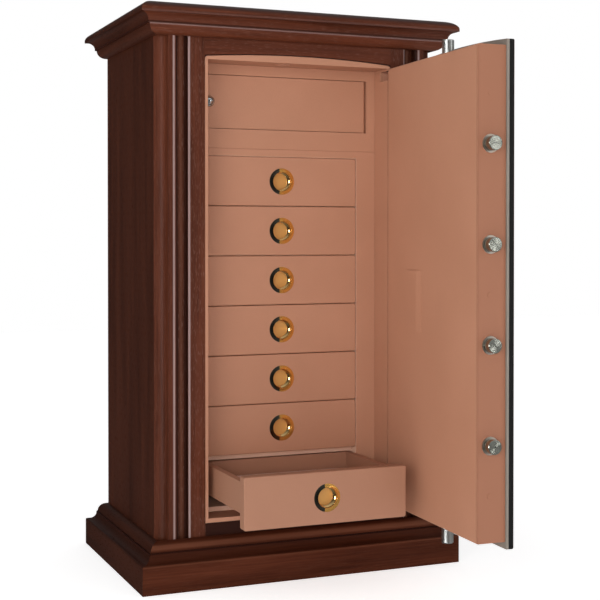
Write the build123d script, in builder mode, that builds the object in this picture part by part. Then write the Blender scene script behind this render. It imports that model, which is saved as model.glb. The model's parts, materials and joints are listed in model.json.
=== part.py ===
"""Jewelry safe in a mahogany cabinet, with its door standing open and its lowest drawer pulled out.

Millimetres. X points right, Y to the back, Z up. The origin is on the floor, under the middle of the
cabinet. The door is drawn in closed coordinates on a plane that is turned about the hinge.
"""
import os
from math import cos, radians, sin

from build123d import *

os.makedirs("parts", exist_ok=True)

# Cabinet: outline and mouldings
WIDTH = 633.0
DEPTH = 432.0
HEIGHT = 1050.0
MOULDING_OUT = 38.0
PLINTH_FACE_H = 52.0
COVE_R = 15.0
QUARTER_ROUND_R = 18.0
MOULDING_STEP = 2.0
MOULDING_LIP = 3.0
CORNICE_NOSE_H = 4.0
CORNICE_TOP_RISE = 18.0
CORNICE_TOP_RUN = 35.0

# Cabinet: boards
BASE_BOARD_T = 12.0
TOP_BOARD_T = 18.0
SIDE_PANEL_T = 18.0
BACK_PANEL_T = 10.0
POST_W = 39.0
POST_BACK_FLAT = 1.0
POST_EDGE_R = 2.5
GROOVE_W = 20.0
GROOVE_DEPTH = 16.0
FRAME_T = 20.0
FRAME_SET_BACK = 2.0
FRAME_FLAT_W = 32.0
FRAME_EDGE_R = 3.0

# Front opening
OPENING_BOTTOM = 110.0
HEADER_H = 89.5
ARCH_RISE = 7.5

# Steel body
FIT_GAP = 0.5
SHELL_T = 3.0
LINER_T = 3.0
BACK_FILL_T = 30.0
DOOR_FRAME_T = 36.0
FOOT_H = 18.0
FOOT_R = 20.0
FOOT_PLATE_T = 8.0
FOOT_STUD_R = 6.0
FOOT_INSET_X = 60.0
FOOT_INSET_Y = 57.5
SHELL_TOP_GAP = 12.0
ANCHOR_R = 7.0
ANCHOR_SPACING = 240.0
ANCHOR_Y = 40.0

# Leather-covered lining boards
LINING_T = 6.0
LINING_FLOOR_T = 8.0
LINING_BACK_T = 6.0
LINING_PLAY = 0.3
LIP_SET_BACK = 1.0

# Drawers
DRAWER_COUNT = 7
DRAWER_GAP = 1.2
DRAWER_SIDE_GAP = 1.0
DRAWER_FRONT_T = 20.0
DRAWER_CORNER_R = 4.0
DRAWER_EDGE_R = 2.0
CASE_LEFT_W = 10.0
CASE_RIGHT_W = 40.0
CASE_STRIP_T = 16.0
CASE_WALL_T = 10.0
CASE_FLOOR_T = 8.5
CASE_RAIL_H = 16.0
CASE_RAIL_T = 12.0
CASE_RAIL_RISE = 6.0
CASE_RAIL_SET_BACK = 1.0
BOX_SIDE_GAP = 2.5
BOX_WALL = 12.0
BOX_FLOOR_T = 6.0
BOX_LIFT = 27.0
BOX_TOP_GAP = 11.9
BOX_BACK_GAP = 4.0
PAD_T = 26.0
PAD_PLAY = 0.4
DRAWER_STAYS_IN = 25.5
RUNNER_W = 13.5
RUNNER_T = 8.0
KICKER_T = 6.0
RUNNER_PLAY = 0.3

# Round recessed pull
PULL_R = 25.0
PULL_MOUTH_R = 18.0
PULL_BOTTOM_R = 15.0
PULL_WALL = 1.5
PULL_DEPTH = 13.5
PULL_PROUD = 2.2
PULL_LIP_R = 0.6
PULL_EDGE_T = 0.5
PULL_RIM_R = 16.0
PULL_PLAY = 0.2

# Small compartment above the drawers
SHELF_T = 14.0
SHELF_EDGE_R = 1.2
COMPARTMENT_H = 156.7
COMPARTMENT_FRAME_T = 16.0
FLAP_LEFT_MARGIN = 8.0
FLAP_RIGHT_MARGIN = 18.0
FLAP_BOTTOM_MARGIN = 36.0
FLAP_TOP_MARGIN = 19.5
FLAP_T = 12.0
FLAP_SET_BACK = 2.0
FLAP_GAP = 1.0
FLAP_PIN_R = 2.0
FLAP_PIN_L = 8.0
RUNNING_FIT = 0.05
SMALL_LOCK_R = 10.0
SMALL_LOCK_BODY_R = 8.0
SMALL_LOCK_PROUD = 2.0
SMALL_LOCK_SLOT_W = 2.5
SMALL_CAM_L = 20.0
SMALL_CAM_W = 12.0
SMALL_CAM_T = 2.5
SMALL_CAM_GAP = 0.5

# Door
DOOR_SHORT_OF_SQUARE = 2.0
DOOR_BOX_T = 54.0
DOOR_WALL = 3.0
DOOR_GAP = 2.0
DOOR_END_GAP = 1.0
DOOR_HINGE_GAP = 4.0
DRAWER_FACE_GAP = 3.0
DOOR_EDGE_R = 3.0
PLATE_T = 4.5
PANEL_T = 11.5
PLATE_FREE_LIP = 4.0
PLATE_HINGE_LIP = 2.0
PLATE_TOP_LIP = 10.0
PLATE_BOTTOM_LIP = 12.0
PANEL_EDGE_R = 5.0
PIVOT_OUT = 21.5
PIVOT_IN = 5.5
PIN_R = 5.0
PIN_HOLD = 14.0
ARM_BOSS_R = 8.0
ARM_W = 12.0
ARM_H = 16.0
ARM_END_GAP = 4.0
ARM_IN = 57.5
POCKET_PLAY = 1.5

# Boltwork
BOLT_DEPTH = 25.0
SIDE_BOLT_R = 12.5
SIDE_BOLT_COUNT = 4
SIDE_BOLT_END_GAP = 172.5
SIDE_BOLT_THROW = 18.5
SIDE_BOLT_IN = 44.5
BOLT_BAR_W = 10.0
BOLT_BAR_T = 16.0
END_BOLT_R = 10.75
END_BOLT_X = -25.0
TOP_BOLT_THROW = 28.0
BOTTOM_BOLT_THROW = 33.0
END_BOLT_IN = 52.0
END_ROD_R = 5.0
END_ROD_GAP = 40.0
BOLT_CHAMFER = 1.0
GUIDE_WALL = 1.8
GUIDE_FLANGE = 1.5
GUIDE_RIM = 1.2
GUIDE_IN = 12.0
STRIKE_PLAY = 1.5
STRIKE_DEPTH = 32.0
PLUG_R = 5.0
PLUG_PROUD = 0.8
PLUG_BOTTOM_GAP = 78.5
PLUG_TOP_GAP = 81.0

# Locks and handle
HANDLE_X = -75.0
HANDLE_ROSE_R = 27.0
HANDLE_ROSE_T = 7.0
HANDLE_NECK_R = 9.0
HANDLE_REACH = 42.0
HANDLE_LEVER_L = 96.0
HANDLE_LEVER_R = 8.0
SPINDLE_R = 6.0
SPINDLE_DISC_R = 30.0
SPINDLE_DISC_T = 5.0
SPINDLE_DISC_GAP = 4.0
KEY_X = 67.5
KEY_BELOW_HANDLE = 21.5
KEY_PLATE_R = 24.0
KEY_PLATE_T = 3.0
KEY_R = 9.0
KEY_PROUD = 5.0
KEY_SLOT_W = 2.4
KEY_SLOT_L = 9.0
LOCK_CASE_W = 60.0
LOCK_CASE_H = 100.0
LOCK_CASE_T = 22.0
LOCK_COVER_W = 58.0
LOCK_COVER_H = 113.0
LOCK_COVER_T = 2.5
LOCK_COVER_CORNER_R = 3.0
LOCK_COVER_SHIFT = 7.0
LOCK_COVER_BEVEL_W = 18.0
LOCK_COVER_EDGE_T = 0.7

# Places worked out from the sizes above
HALF_W = WIDTH / 2
HALF_D = DEPTH / 2
BODY_X = HALF_W - MOULDING_OUT
BODY_Y = HALF_D - MOULDING_OUT
FRAME_Y = -BODY_Y + FRAME_SET_BACK
STEEL_Y = FRAME_Y + FRAME_T
POST_ROUND_R = FRAME_SET_BACK + FRAME_T - POST_BACK_FLAT
BOARD_TOP = HEIGHT - TOP_BOARD_T
POST_X = BODY_X - POST_W
GROOVE_X = POST_X - GROOVE_W
OPENING_X = GROOVE_X - FRAME_FLAT_W
OPENING_TOP = HEIGHT - HEADER_H

SHELL_X = BODY_X - SIDE_PANEL_T - FIT_GAP
SHELL_BACK = BODY_Y - BACK_PANEL_T - FIT_GAP
FOOT_X = SHELL_X - FOOT_INSET_X
FOOT_Y = SHELL_BACK - FOOT_INSET_Y
SHELL_BOTTOM = BASE_BOARD_T + FOOT_H
SHELL_TOP = BOARD_TOP - SHELL_TOP_GAP
LINER_BACK = SHELL_BACK - SHELL_T - BACK_FILL_T
ROOM_BACK = LINER_BACK - LINER_T - LINING_BACK_T
ROOM_X = OPENING_X - LINING_T
ROOM_BOTTOM = OPENING_BOTTOM + LINING_FLOOR_T
ROOM_TOP = OPENING_TOP - LINING_T

DRAWER_FACE_Y = FRAME_Y + DOOR_BOX_T + DRAWER_FACE_GAP
CASE_BOTTOM = ROOM_BOTTOM + CASE_FLOOR_T
SHELF_TOP = ROOM_TOP - COMPARTMENT_H
CASE_TOP = SHELF_TOP - SHELF_T
DRAWER_PITCH = (CASE_TOP - CASE_BOTTOM) / DRAWER_COUNT
BAY_LEFT = -ROOM_X + CASE_LEFT_W
BAY_RIGHT = ROOM_X - CASE_RIGHT_W
DRAWER_X = (BAY_LEFT + BAY_RIGHT) / 2
DRAWER_W = BAY_RIGHT - BAY_LEFT - 2 * DRAWER_SIDE_GAP
DRAWER_H = DRAWER_PITCH - DRAWER_GAP
BOX_H = DRAWER_PITCH - BOX_LIFT - BOX_TOP_GAP
BOX_W = BAY_RIGHT - BAY_LEFT - 2 * BOX_SIDE_GAP
BOX_BACK_Y = ROOM_BACK - BOX_BACK_GAP
DRAWER_OUT = BOX_BACK_Y - DRAWER_FACE_Y - DRAWER_STAYS_IN

FLAP_X0 = -ROOM_X + FLAP_LEFT_MARGIN
FLAP_X1 = ROOM_X - FLAP_RIGHT_MARGIN
FLAP_Z0 = SHELF_TOP + FLAP_BOTTOM_MARGIN
FLAP_Z1 = ROOM_TOP - FLAP_TOP_MARGIN
FLAP_PIVOT_X = FLAP_X1 - FLAP_GAP - FLAP_T / 2
FLAP_PIVOT_Y = DRAWER_FACE_Y + FLAP_SET_BACK + FLAP_T / 2
SMALL_LOCK_X = FLAP_X0 + FLAP_GAP + SMALL_LOCK_R + 3.0
SMALL_LOCK_Z = (FLAP_Z0 + FLAP_Z1) / 2
SMALL_LOCK_IN = COMPARTMENT_FRAME_T - FLAP_SET_BACK + SMALL_CAM_GAP

PIVOT_X = OPENING_X + PIVOT_OUT
PIVOT_Y = STEEL_Y + PIVOT_IN
BOX_X0 = -ROOM_X + DOOR_GAP
BOX_X1 = ROOM_X - DOOR_HINGE_GAP
BOX_Z0 = ROOM_BOTTOM + DOOR_END_GAP
BOX_Z1 = ROOM_TOP - DOOR_END_GAP
BOX_INNER_Y = FRAME_Y + DOOR_BOX_T
PLATE_X0 = BOX_X0 - PLATE_FREE_LIP
PLATE_X1 = BOX_X1 + PLATE_HINGE_LIP
PLATE_Z0 = BOX_Z0 - PLATE_BOTTOM_LIP
PLATE_Z1 = BOX_Z1 + PLATE_TOP_LIP
PLATE_Y = FRAME_Y - PLATE_T
PANEL_Y = PLATE_Y - PANEL_T
BOLT_Y = BOX_INNER_Y - BOLT_DEPTH
ARM_Z = (BOX_Z0 + ARM_END_GAP, BOX_Z1 - ARM_END_GAP - ARM_H)
SIDE_BOLT_Z0 = OPENING_BOTTOM + SIDE_BOLT_END_GAP
SIDE_BOLT_PITCH = (OPENING_TOP - SIDE_BOLT_END_GAP - SIDE_BOLT_Z0) / (SIDE_BOLT_COUNT - 1)
SIDE_BOLT_Z = [SIDE_BOLT_Z0 + index * SIDE_BOLT_PITCH for index in range(SIDE_BOLT_COUNT)]
PLUG_LOW_Z = BOX_Z0 + PLUG_BOTTOM_GAP
PLUG_HIGH_Z = BOX_Z1 - PLUG_TOP_GAP
HANDLE_Z = (PLUG_LOW_Z + PLUG_HIGH_Z) / 2
PLUG_Z = (PLUG_LOW_Z, HANDLE_Z, PLUG_HIGH_Z)
KEY_Z = HANDLE_Z - KEY_BELOW_HANDLE

DOOR_ANGLE = 90.0 - DOOR_SHORT_OF_SQUARE
TURN_COS = cos(radians(DOOR_ANGLE))
TURN_SIN = sin(radians(DOOR_ANGLE))
DOOR = Plane(
    origin=(
        PIVOT_X - PIVOT_X * TURN_COS + PIVOT_Y * TURN_SIN,
        PIVOT_Y - PIVOT_X * TURN_SIN - PIVOT_Y * TURN_COS,
        0,
    ),
    x_dir=(TURN_COS, TURN_SIN, 0),
    z_dir=(0, 0, 1),
)
INWARD = Axis(DOOR.origin, DOOR.y_dir)


def save(piece, name):
    """Label a finished piece and write its file."""
    piece.part.label = name
    export_step(piece.part, f"parts/{name}.step")


def door_facing(point, normal, across):
    """Plane on the door: a point and two directions, all in closed coordinates."""
    origin = DOOR.from_local_coords(Vector(*point))
    z_dir = DOOR.from_local_coords(Vector(*normal)) - DOOR.origin
    x_dir = DOOR.from_local_coords(Vector(*across)) - DOOR.origin
    return Plane(origin=origin, x_dir=x_dir, z_dir=z_dir)


def slab(x0, x1, y0, y1, z0, z1, base=Plane.XY, mode=Mode.ADD):
    """A board given by its limits, added to the part being built."""
    with BuildSketch(base.offset(z0)) as outline:
        with Locations(((x0 + x1) / 2, (y0 + y1) / 2)):
            Rectangle(x1 - x0, y1 - y0)
    extrude(outline.sketch, amount=z1 - z0, mode=mode)


def disc(plane, radius, height, mode=Mode.ADD):
    """A round bar or hole that starts on a plane and runs along its normal."""
    with BuildSketch(plane) as outline:
        Circle(radius)
    extrude(outline.sketch, amount=height, mode=mode)


def anchor_holes(z0, z1):
    """Holes for the two floor bolts through one layer of the bottom."""
    with BuildSketch(Plane.XY.offset(z0)) as outline:
        with Locations((-ANCHOR_SPACING / 2, ANCHOR_Y), (ANCHOR_SPACING / 2, ANCHOR_Y)):
            Circle(ANCHOR_R)
    extrude(outline.sketch, amount=z1 - z0, mode=Mode.SUBTRACT)


# Mouldings: a section drawn as distance out from the middle and height, run along each side

SIDES = {
    "front": (Vector(0, -1, 0), HALF_D, HALF_W),
    "left": (Vector(-1, 0, 0), HALF_W, HALF_D),
    "right": (Vector(1, 0, 0), HALF_W, HALF_D),
    "back": (Vector(0, 1, 0), HALF_D, HALF_W),
}


def plinth_outline(face):
    """Flat board, small rounded top edge, hollow, step and quarter round up to the body."""
    lip = face - MOULDING_LIP
    cove_end = lip - COVE_R
    step = cove_end - MOULDING_STEP
    wall = face - MOULDING_OUT
    shoulder = PLINTH_FACE_H + COVE_R + MOULDING_STEP
    Line((wall, 0), (face, 0))
    Line((face, 0), (face, PLINTH_FACE_H - MOULDING_LIP))
    RadiusArc((face, PLINTH_FACE_H - MOULDING_LIP), (lip, PLINTH_FACE_H), -MOULDING_LIP)
    RadiusArc((lip, PLINTH_FACE_H), (cove_end, PLINTH_FACE_H + COVE_R), COVE_R)
    Line((cove_end, PLINTH_FACE_H + COVE_R), (cove_end, shoulder))
    Line((cove_end, shoulder), (step, shoulder))
    RadiusArc((step, shoulder), (wall, shoulder + QUARTER_ROUND_R), -QUARTER_ROUND_R)
    Line((wall, shoulder + QUARTER_ROUND_R), (wall, 0))


def cornice_outline(face):
    """Quarter round, step, hollow, thin nose and a softly rounded top edge."""
    lip = face - MOULDING_STEP
    cove_end = lip - COVE_R
    step = cove_end - MOULDING_LIP
    wall = face - MOULDING_OUT
    nose = HEIGHT - CORNICE_TOP_RISE
    cove_top = nose - CORNICE_NOSE_H
    shoulder = cove_top - COVE_R - MOULDING_STEP
    RadiusArc((wall, shoulder - QUARTER_ROUND_R), (step, shoulder), -QUARTER_ROUND_R)
    Line((step, shoulder), (cove_end, shoulder))
    Line((cove_end, shoulder), (cove_end, cove_top - COVE_R))
    RadiusArc((cove_end, cove_top - COVE_R), (lip, cove_top), COVE_R)
    Line((lip, cove_top), (face, cove_top))
    Line((face, cove_top), (face, nose))
    top_centre = (face - CORNICE_TOP_RUN, nose)
    EllipticalCenterArc(top_centre, CORNICE_TOP_RUN, CORNICE_TOP_RISE, start_angle=0, arc_size=90)
    Line((face - CORNICE_TOP_RUN, HEIGHT), (wall, HEIGHT))
    Line((wall, HEIGHT), (wall, shoulder - QUARTER_ROUND_R))


def mitred_run(side, outline):
    """One length of moulding on one side, cut at 45 degrees at both corners."""
    out, face, reach = SIDES[side]
    along = out.cross(Vector(0, 0, 1))
    with BuildPart(mode=Mode.PRIVATE) as run:
        with BuildSketch(Plane(origin=(0, 0, 0), x_dir=out, z_dir=along)):
            with BuildLine():
                outline(face)
            make_face()
        extrude(amount=reach, both=True)
        for end in (along, along * -1):
            corner = out * face + end * reach
            split(bisect_by=Plane(origin=corner, z_dir=end - out), keep=Keep.BOTTOM)
    return run.part


def make_mouldings(name, outline, sides):
    """The mouldings of two opposite sides."""
    with BuildPart() as mouldings:
        for side in sides:
            add(mitred_run(side, outline))
    save(mouldings, name)


# Cabinet boards


def make_base_board():
    with BuildPart() as base_board:
        slab(-BODY_X, BODY_X, -BODY_Y, BODY_Y, 0, BASE_BOARD_T)
        anchor_holes(0, BASE_BOARD_T)
    save(base_board, "base_board")


def make_top_board():
    with BuildPart() as top_board:
        slab(-BODY_X, BODY_X, -BODY_Y, BODY_Y, BOARD_TOP, HEIGHT)
    save(top_board, "top_board")


def make_side_panels():
    with BuildPart() as side_panels:
        slab(-BODY_X, -BODY_X + SIDE_PANEL_T, STEEL_Y, BODY_Y - BACK_PANEL_T, BASE_BOARD_T, BOARD_TOP)
        mirror(about=Plane.YZ)
    save(side_panels, "side_panels")


def make_back_panel():
    with BuildPart() as back_panel:
        slab(-BODY_X, BODY_X, BODY_Y - BACK_PANEL_T, BODY_Y, BASE_BOARD_T, BOARD_TOP)
    save(back_panel, "back_panel")


def make_corner_posts():
    """Posts with a quarter-round outer corner and a small round beside the groove."""
    inner = -POST_X
    outer = -BODY_X
    with BuildPart() as corner_posts:
        with BuildSketch(Plane.XY.offset(BASE_BOARD_T)):
            with BuildLine():
                RadiusArc((outer, -BODY_Y + POST_ROUND_R), (outer + POST_ROUND_R, -BODY_Y), POST_ROUND_R)
                Line((outer + POST_ROUND_R, -BODY_Y), (inner - POST_EDGE_R, -BODY_Y))
                RadiusArc((inner - POST_EDGE_R, -BODY_Y), (inner, -BODY_Y + POST_EDGE_R), POST_EDGE_R)
                Line((inner, -BODY_Y + POST_EDGE_R), (inner, STEEL_Y))
                Line((inner, STEEL_Y), (outer, STEEL_Y))
                Line((outer, STEEL_Y), (outer, -BODY_Y + POST_ROUND_R))
            make_face()
        extrude(amount=BOARD_TOP - BASE_BOARD_T)
        mirror(about=Plane.YZ)
    save(corner_posts, "corner_posts")


def side_bolt_holes(x, play, depth):
    """Holes that the side bolts enter, from the plane at x towards the free side."""
    for bolt_z in SIDE_BOLT_Z:
        mouth = Plane(origin=(x, BOLT_Y, bolt_z), z_dir=(-1, 0, 0))
        disc(mouth, SIDE_BOLT_R + play, depth, Mode.SUBTRACT)


def end_bolt_holes(low, high, play, low_depth, high_depth):
    """Holes that the bottom and the top bolt enter."""
    top_mouth = Plane(origin=(END_BOLT_X, BOLT_Y, high), z_dir=(0, 0, 1))
    disc(top_mouth, END_BOLT_R + play, high_depth, Mode.SUBTRACT)
    bottom_mouth = Plane(origin=(END_BOLT_X, BOLT_Y, low), z_dir=(0, 0, -1))
    disc(bottom_mouth, END_BOLT_R + play, low_depth, Mode.SUBTRACT)


def pocket_z(arm_z):
    """Height limits of the pocket that a hinge arm turns in."""
    return arm_z - POCKET_PLAY, arm_z + ARM_H + POCKET_PLAY


def make_frame_stiles():
    """Flat stiles with a thin tongue that is the floor of the groove, notched for the hinge arms."""
    floor_y = -BODY_Y + GROOVE_DEPTH
    notch_x = PIVOT_X + ARM_W / 2 + POCKET_PLAY / 2
    with BuildPart() as frame_stiles:
        with BuildSketch(Plane.XY.offset(BASE_BOARD_T)):
            with BuildLine():
                Line((-OPENING_X, STEEL_Y), (-POST_X, STEEL_Y))
                Line((-POST_X, STEEL_Y), (-POST_X, floor_y))
                Line((-POST_X, floor_y), (-GROOVE_X, floor_y))
                Line((-GROOVE_X, floor_y), (-GROOVE_X, FRAME_Y + FRAME_EDGE_R))
                RadiusArc(
                    (-GROOVE_X, FRAME_Y + FRAME_EDGE_R), (-GROOVE_X + FRAME_EDGE_R, FRAME_Y), FRAME_EDGE_R
                )
                Line((-GROOVE_X + FRAME_EDGE_R, FRAME_Y), (-OPENING_X, FRAME_Y))
                Line((-OPENING_X, FRAME_Y), (-OPENING_X, STEEL_Y))
            make_face()
        extrude(amount=BOARD_TOP - BASE_BOARD_T)
        mirror(about=Plane.YZ)
        for arm_z in ARM_Z:
            low, high = pocket_z(arm_z)
            slab(OPENING_X, notch_x, FRAME_Y, STEEL_Y, low, high, mode=Mode.SUBTRACT)
        side_bolt_holes(-OPENING_X, STRIKE_PLAY, SIDE_BOLT_THROW - LINING_T)
    save(frame_stiles, "frame_stiles")


def arch_edge(half_width, z_end, play=0.0):
    """The shallow arch over the opening, drawn lower by the play."""
    ThreePointArc((-half_width, z_end - play), (0, z_end + ARCH_RISE - play), (half_width, z_end - play))


def make_frame_rails():
    """Arched header with small rounded corners, and the sill."""
    corner = LINING_T
    flat_x = OPENING_X - corner
    with BuildPart() as frame_rails:
        with BuildSketch(Plane.XZ.offset(-STEEL_Y)):
            with BuildLine():
                Line((-OPENING_X, BOARD_TOP), (-OPENING_X, OPENING_TOP - corner))
                RadiusArc((-OPENING_X, OPENING_TOP - corner), (-flat_x, OPENING_TOP), corner)
                arch_edge(flat_x, OPENING_TOP)
                RadiusArc((flat_x, OPENING_TOP), (OPENING_X, OPENING_TOP - corner), corner)
                Line((OPENING_X, OPENING_TOP - corner), (OPENING_X, BOARD_TOP))
                Line((OPENING_X, BOARD_TOP), (-OPENING_X, BOARD_TOP))
            make_face()
        extrude(amount=FRAME_T)
        slab(-OPENING_X, OPENING_X, FRAME_Y, STEEL_Y, BASE_BOARD_T, OPENING_BOTTOM)
        low_depth = BOTTOM_BOLT_THROW - LINING_FLOOR_T
        high_depth = TOP_BOLT_THROW - LINING_T
        end_bolt_holes(OPENING_BOTTOM, OPENING_TOP, STRIKE_PLAY, low_depth, high_depth)
    save(frame_rails, "frame_rails")


# Steel body


def make_safe_shell():
    """Outer steel box, open at the front."""
    with BuildPart() as safe_shell:
        slab(-SHELL_X, SHELL_X, STEEL_Y, SHELL_BACK, SHELL_BOTTOM, SHELL_TOP)
        slab(
            -SHELL_X + SHELL_T,
            SHELL_X - SHELL_T,
            STEEL_Y,
            SHELL_BACK - SHELL_T,
            SHELL_BOTTOM + SHELL_T,
            SHELL_TOP - SHELL_T,
            mode=Mode.SUBTRACT,
        )
        anchor_holes(SHELL_BOTTOM, SHELL_BOTTOM + SHELL_T)
    save(safe_shell, "safe_shell")


def make_barrier_fill():
    """Cast filling between the two steel boxes, behind the door frame."""
    with BuildPart() as barrier_fill:
        slab(
            -SHELL_X + SHELL_T,
            SHELL_X - SHELL_T,
            STEEL_Y + DOOR_FRAME_T,
            SHELL_BACK - SHELL_T,
            SHELL_BOTTOM + SHELL_T,
            SHELL_TOP - SHELL_T,
        )
        slab(
            -OPENING_X - LINER_T,
            OPENING_X + LINER_T,
            STEEL_Y + DOOR_FRAME_T,
            LINER_BACK,
            OPENING_BOTTOM - LINER_T,
            OPENING_TOP + LINER_T,
            mode=Mode.SUBTRACT,
        )
        anchor_holes(SHELL_BOTTOM + SHELL_T, OPENING_BOTTOM - LINER_T)
    save(barrier_fill, "barrier_fill")


def make_steel_liner():
    """Inner steel box behind the leather-covered boards."""
    front = STEEL_Y + DOOR_FRAME_T
    with BuildPart() as steel_liner:
        slab(
            -OPENING_X - LINER_T,
            OPENING_X + LINER_T,
            front,
            LINER_BACK,
            OPENING_BOTTOM - LINER_T,
            OPENING_TOP + LINER_T,
        )
        slab(
            -OPENING_X,
            OPENING_X,
            front,
            LINER_BACK - LINER_T,
            OPENING_BOTTOM,
            OPENING_TOP,
            mode=Mode.SUBTRACT,
        )
        anchor_holes(OPENING_BOTTOM - LINER_T, OPENING_BOTTOM)
    save(steel_liner, "steel_liner")


def make_door_frame():
    """Thick steel ring with the holes that the bolts enter and the pockets of the hinge."""
    with BuildPart() as door_frame:
        slab(
            -SHELL_X + SHELL_T,
            SHELL_X - SHELL_T,
            STEEL_Y,
            STEEL_Y + DOOR_FRAME_T,
            SHELL_BOTTOM + SHELL_T,
            SHELL_TOP - SHELL_T,
        )
        slab(
            -OPENING_X,
            OPENING_X,
            STEEL_Y,
            STEEL_Y + DOOR_FRAME_T,
            OPENING_BOTTOM,
            OPENING_TOP,
            mode=Mode.SUBTRACT,
        )
        side_bolt_holes(-OPENING_X, STRIKE_PLAY, STRIKE_DEPTH)
        end_bolt_holes(OPENING_BOTTOM, OPENING_TOP, STRIKE_PLAY, STRIKE_DEPTH, STRIKE_DEPTH)
        reach = ARM_BOSS_R + POCKET_PLAY
        for arm_z in ARM_Z:
            low, high = pocket_z(arm_z)
            slab(OPENING_X, PIVOT_X + reach, STEEL_Y, PIVOT_Y + reach, low, high, mode=Mode.SUBTRACT)
            pin_plane = Plane(origin=(PIVOT_X, PIVOT_Y, low - PIN_HOLD))
            disc(pin_plane, PIN_R, high - low + 2 * PIN_HOLD, Mode.SUBTRACT)
    save(door_frame, "door_frame")


def make_levelling_feet():
    with BuildPart() as levelling_feet:
        for radius, z0, z1 in (
            (FOOT_R, BASE_BOARD_T, BASE_BOARD_T + FOOT_PLATE_T),
            (FOOT_STUD_R, BASE_BOARD_T + FOOT_PLATE_T, SHELL_BOTTOM),
        ):
            with BuildSketch(Plane.XY.offset(z0)):
                with GridLocations(2 * FOOT_X, 2 * FOOT_Y, 2, 2):
                    Circle(radius)
            extrude(amount=z1 - z0)
    save(levelling_feet, "levelling_feet")


def make_hinge_pins():
    """Steel pins that stand in the door frame, through the pockets."""
    with BuildPart() as hinge_pins:
        for arm_z in ARM_Z:
            low, high = pocket_z(arm_z)
            disc(Plane(origin=(PIVOT_X, PIVOT_Y, low - PIN_HOLD)), PIN_R, high - low + 2 * PIN_HOLD)
    save(hinge_pins, "hinge_pins")


# Leather-covered lining boards


def make_lining():
    """Five boards; their front edges are the thin rim that shows in the opening."""
    outer_x = OPENING_X - LINING_PLAY
    low = OPENING_BOTTOM + LINING_PLAY
    high = OPENING_TOP - LINING_PLAY
    lip_y = FRAME_Y + LIP_SET_BACK
    back_y = ROOM_BACK + LINING_BACK_T - LINING_PLAY
    corner = LINING_T - LINING_PLAY
    with BuildPart() as lining:
        slab(-outer_x, outer_x, lip_y, ROOM_BACK, low, ROOM_BOTTOM)
        slab(-outer_x, outer_x, STEEL_Y, ROOM_BACK, ROOM_TOP, high)
        with BuildSketch(Plane.XZ.offset(-STEEL_Y)):
            with BuildLine():
                RadiusArc((-outer_x, ROOM_TOP), (-ROOM_X, high), corner)
                arch_edge(ROOM_X, OPENING_TOP, LINING_PLAY)
                RadiusArc((ROOM_X, high), (outer_x, ROOM_TOP), corner)
                Line((outer_x, ROOM_TOP), (-outer_x, ROOM_TOP))
            make_face()
        extrude(amount=STEEL_Y - lip_y)
        slab(-outer_x, -ROOM_X, lip_y, ROOM_BACK, ROOM_BOTTOM, ROOM_TOP)
        slab(ROOM_X, outer_x, lip_y, ROOM_BACK, ROOM_BOTTOM, ROOM_TOP)
        slab(-outer_x, outer_x, ROOM_BACK, back_y, low, high)
        collar_play = GUIDE_WALL + GUIDE_RIM + STRIKE_PLAY
        side_bolt_holes(-ROOM_X, collar_play, LINING_T)
        end_bolt_holes(ROOM_BOTTOM, ROOM_TOP, collar_play, LINING_FLOOR_T, LINING_T + ARCH_RISE)
        for arm_z in ARM_Z:
            z0, z1 = pocket_z(arm_z)
            cut_y = PIVOT_Y + ARM_W / 2 + POCKET_PLAY
            slab(ROOM_X, outer_x, lip_y, cut_y, z0, z1, mode=Mode.SUBTRACT)
        anchor_holes(low, ROOM_BOTTOM)
    save(lining, "lining")


# Drawer case, drawers and runners


def make_drawer_case():
    """Glued case round the drawers: floor, shelf, sides (the right one with a wide strip) and cross rails."""
    face = DRAWER_FACE_Y
    back = ROOM_BACK - LINING_PLAY
    left = -ROOM_X + LINING_PLAY
    right = ROOM_X - LINING_PLAY
    with BuildPart() as drawer_case:
        slab(left, BAY_LEFT, face, back, CASE_BOTTOM, CASE_TOP)
        slab(BAY_RIGHT, right, face, face + CASE_STRIP_T, CASE_BOTTOM, CASE_TOP)
        slab(BAY_RIGHT, BAY_RIGHT + CASE_WALL_T, face + CASE_STRIP_T, back, CASE_BOTTOM, CASE_TOP)
        slab(left, right, face, back, ROOM_BOTTOM, CASE_BOTTOM)
        slab(left, right, face, back, CASE_TOP, SHELF_TOP)
        front_edges = drawer_case.edges().filter_by(Axis.X).group_by(Axis.Y)[0]
        fillet(front_edges.group_by(Axis.Z)[-1], SHELF_EDGE_R)
        rail_y = face + DRAWER_FRONT_T + CASE_RAIL_SET_BACK
        for row in range(1, DRAWER_COUNT):
            rail_top = CASE_BOTTOM + row * DRAWER_PITCH + CASE_RAIL_RISE
            slab(BAY_LEFT, BAY_RIGHT, rail_y, rail_y + CASE_RAIL_T, rail_top - CASE_RAIL_H, rail_top)
        anchor_holes(ROOM_BOTTOM, CASE_BOTTOM)
    save(drawer_case, "drawer_case")


def drawer_bottom(row):
    """Height of the lower edge of a drawer front; row 0 is the lowest drawer."""
    return CASE_BOTTOM + row * DRAWER_PITCH + DRAWER_GAP / 2


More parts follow.
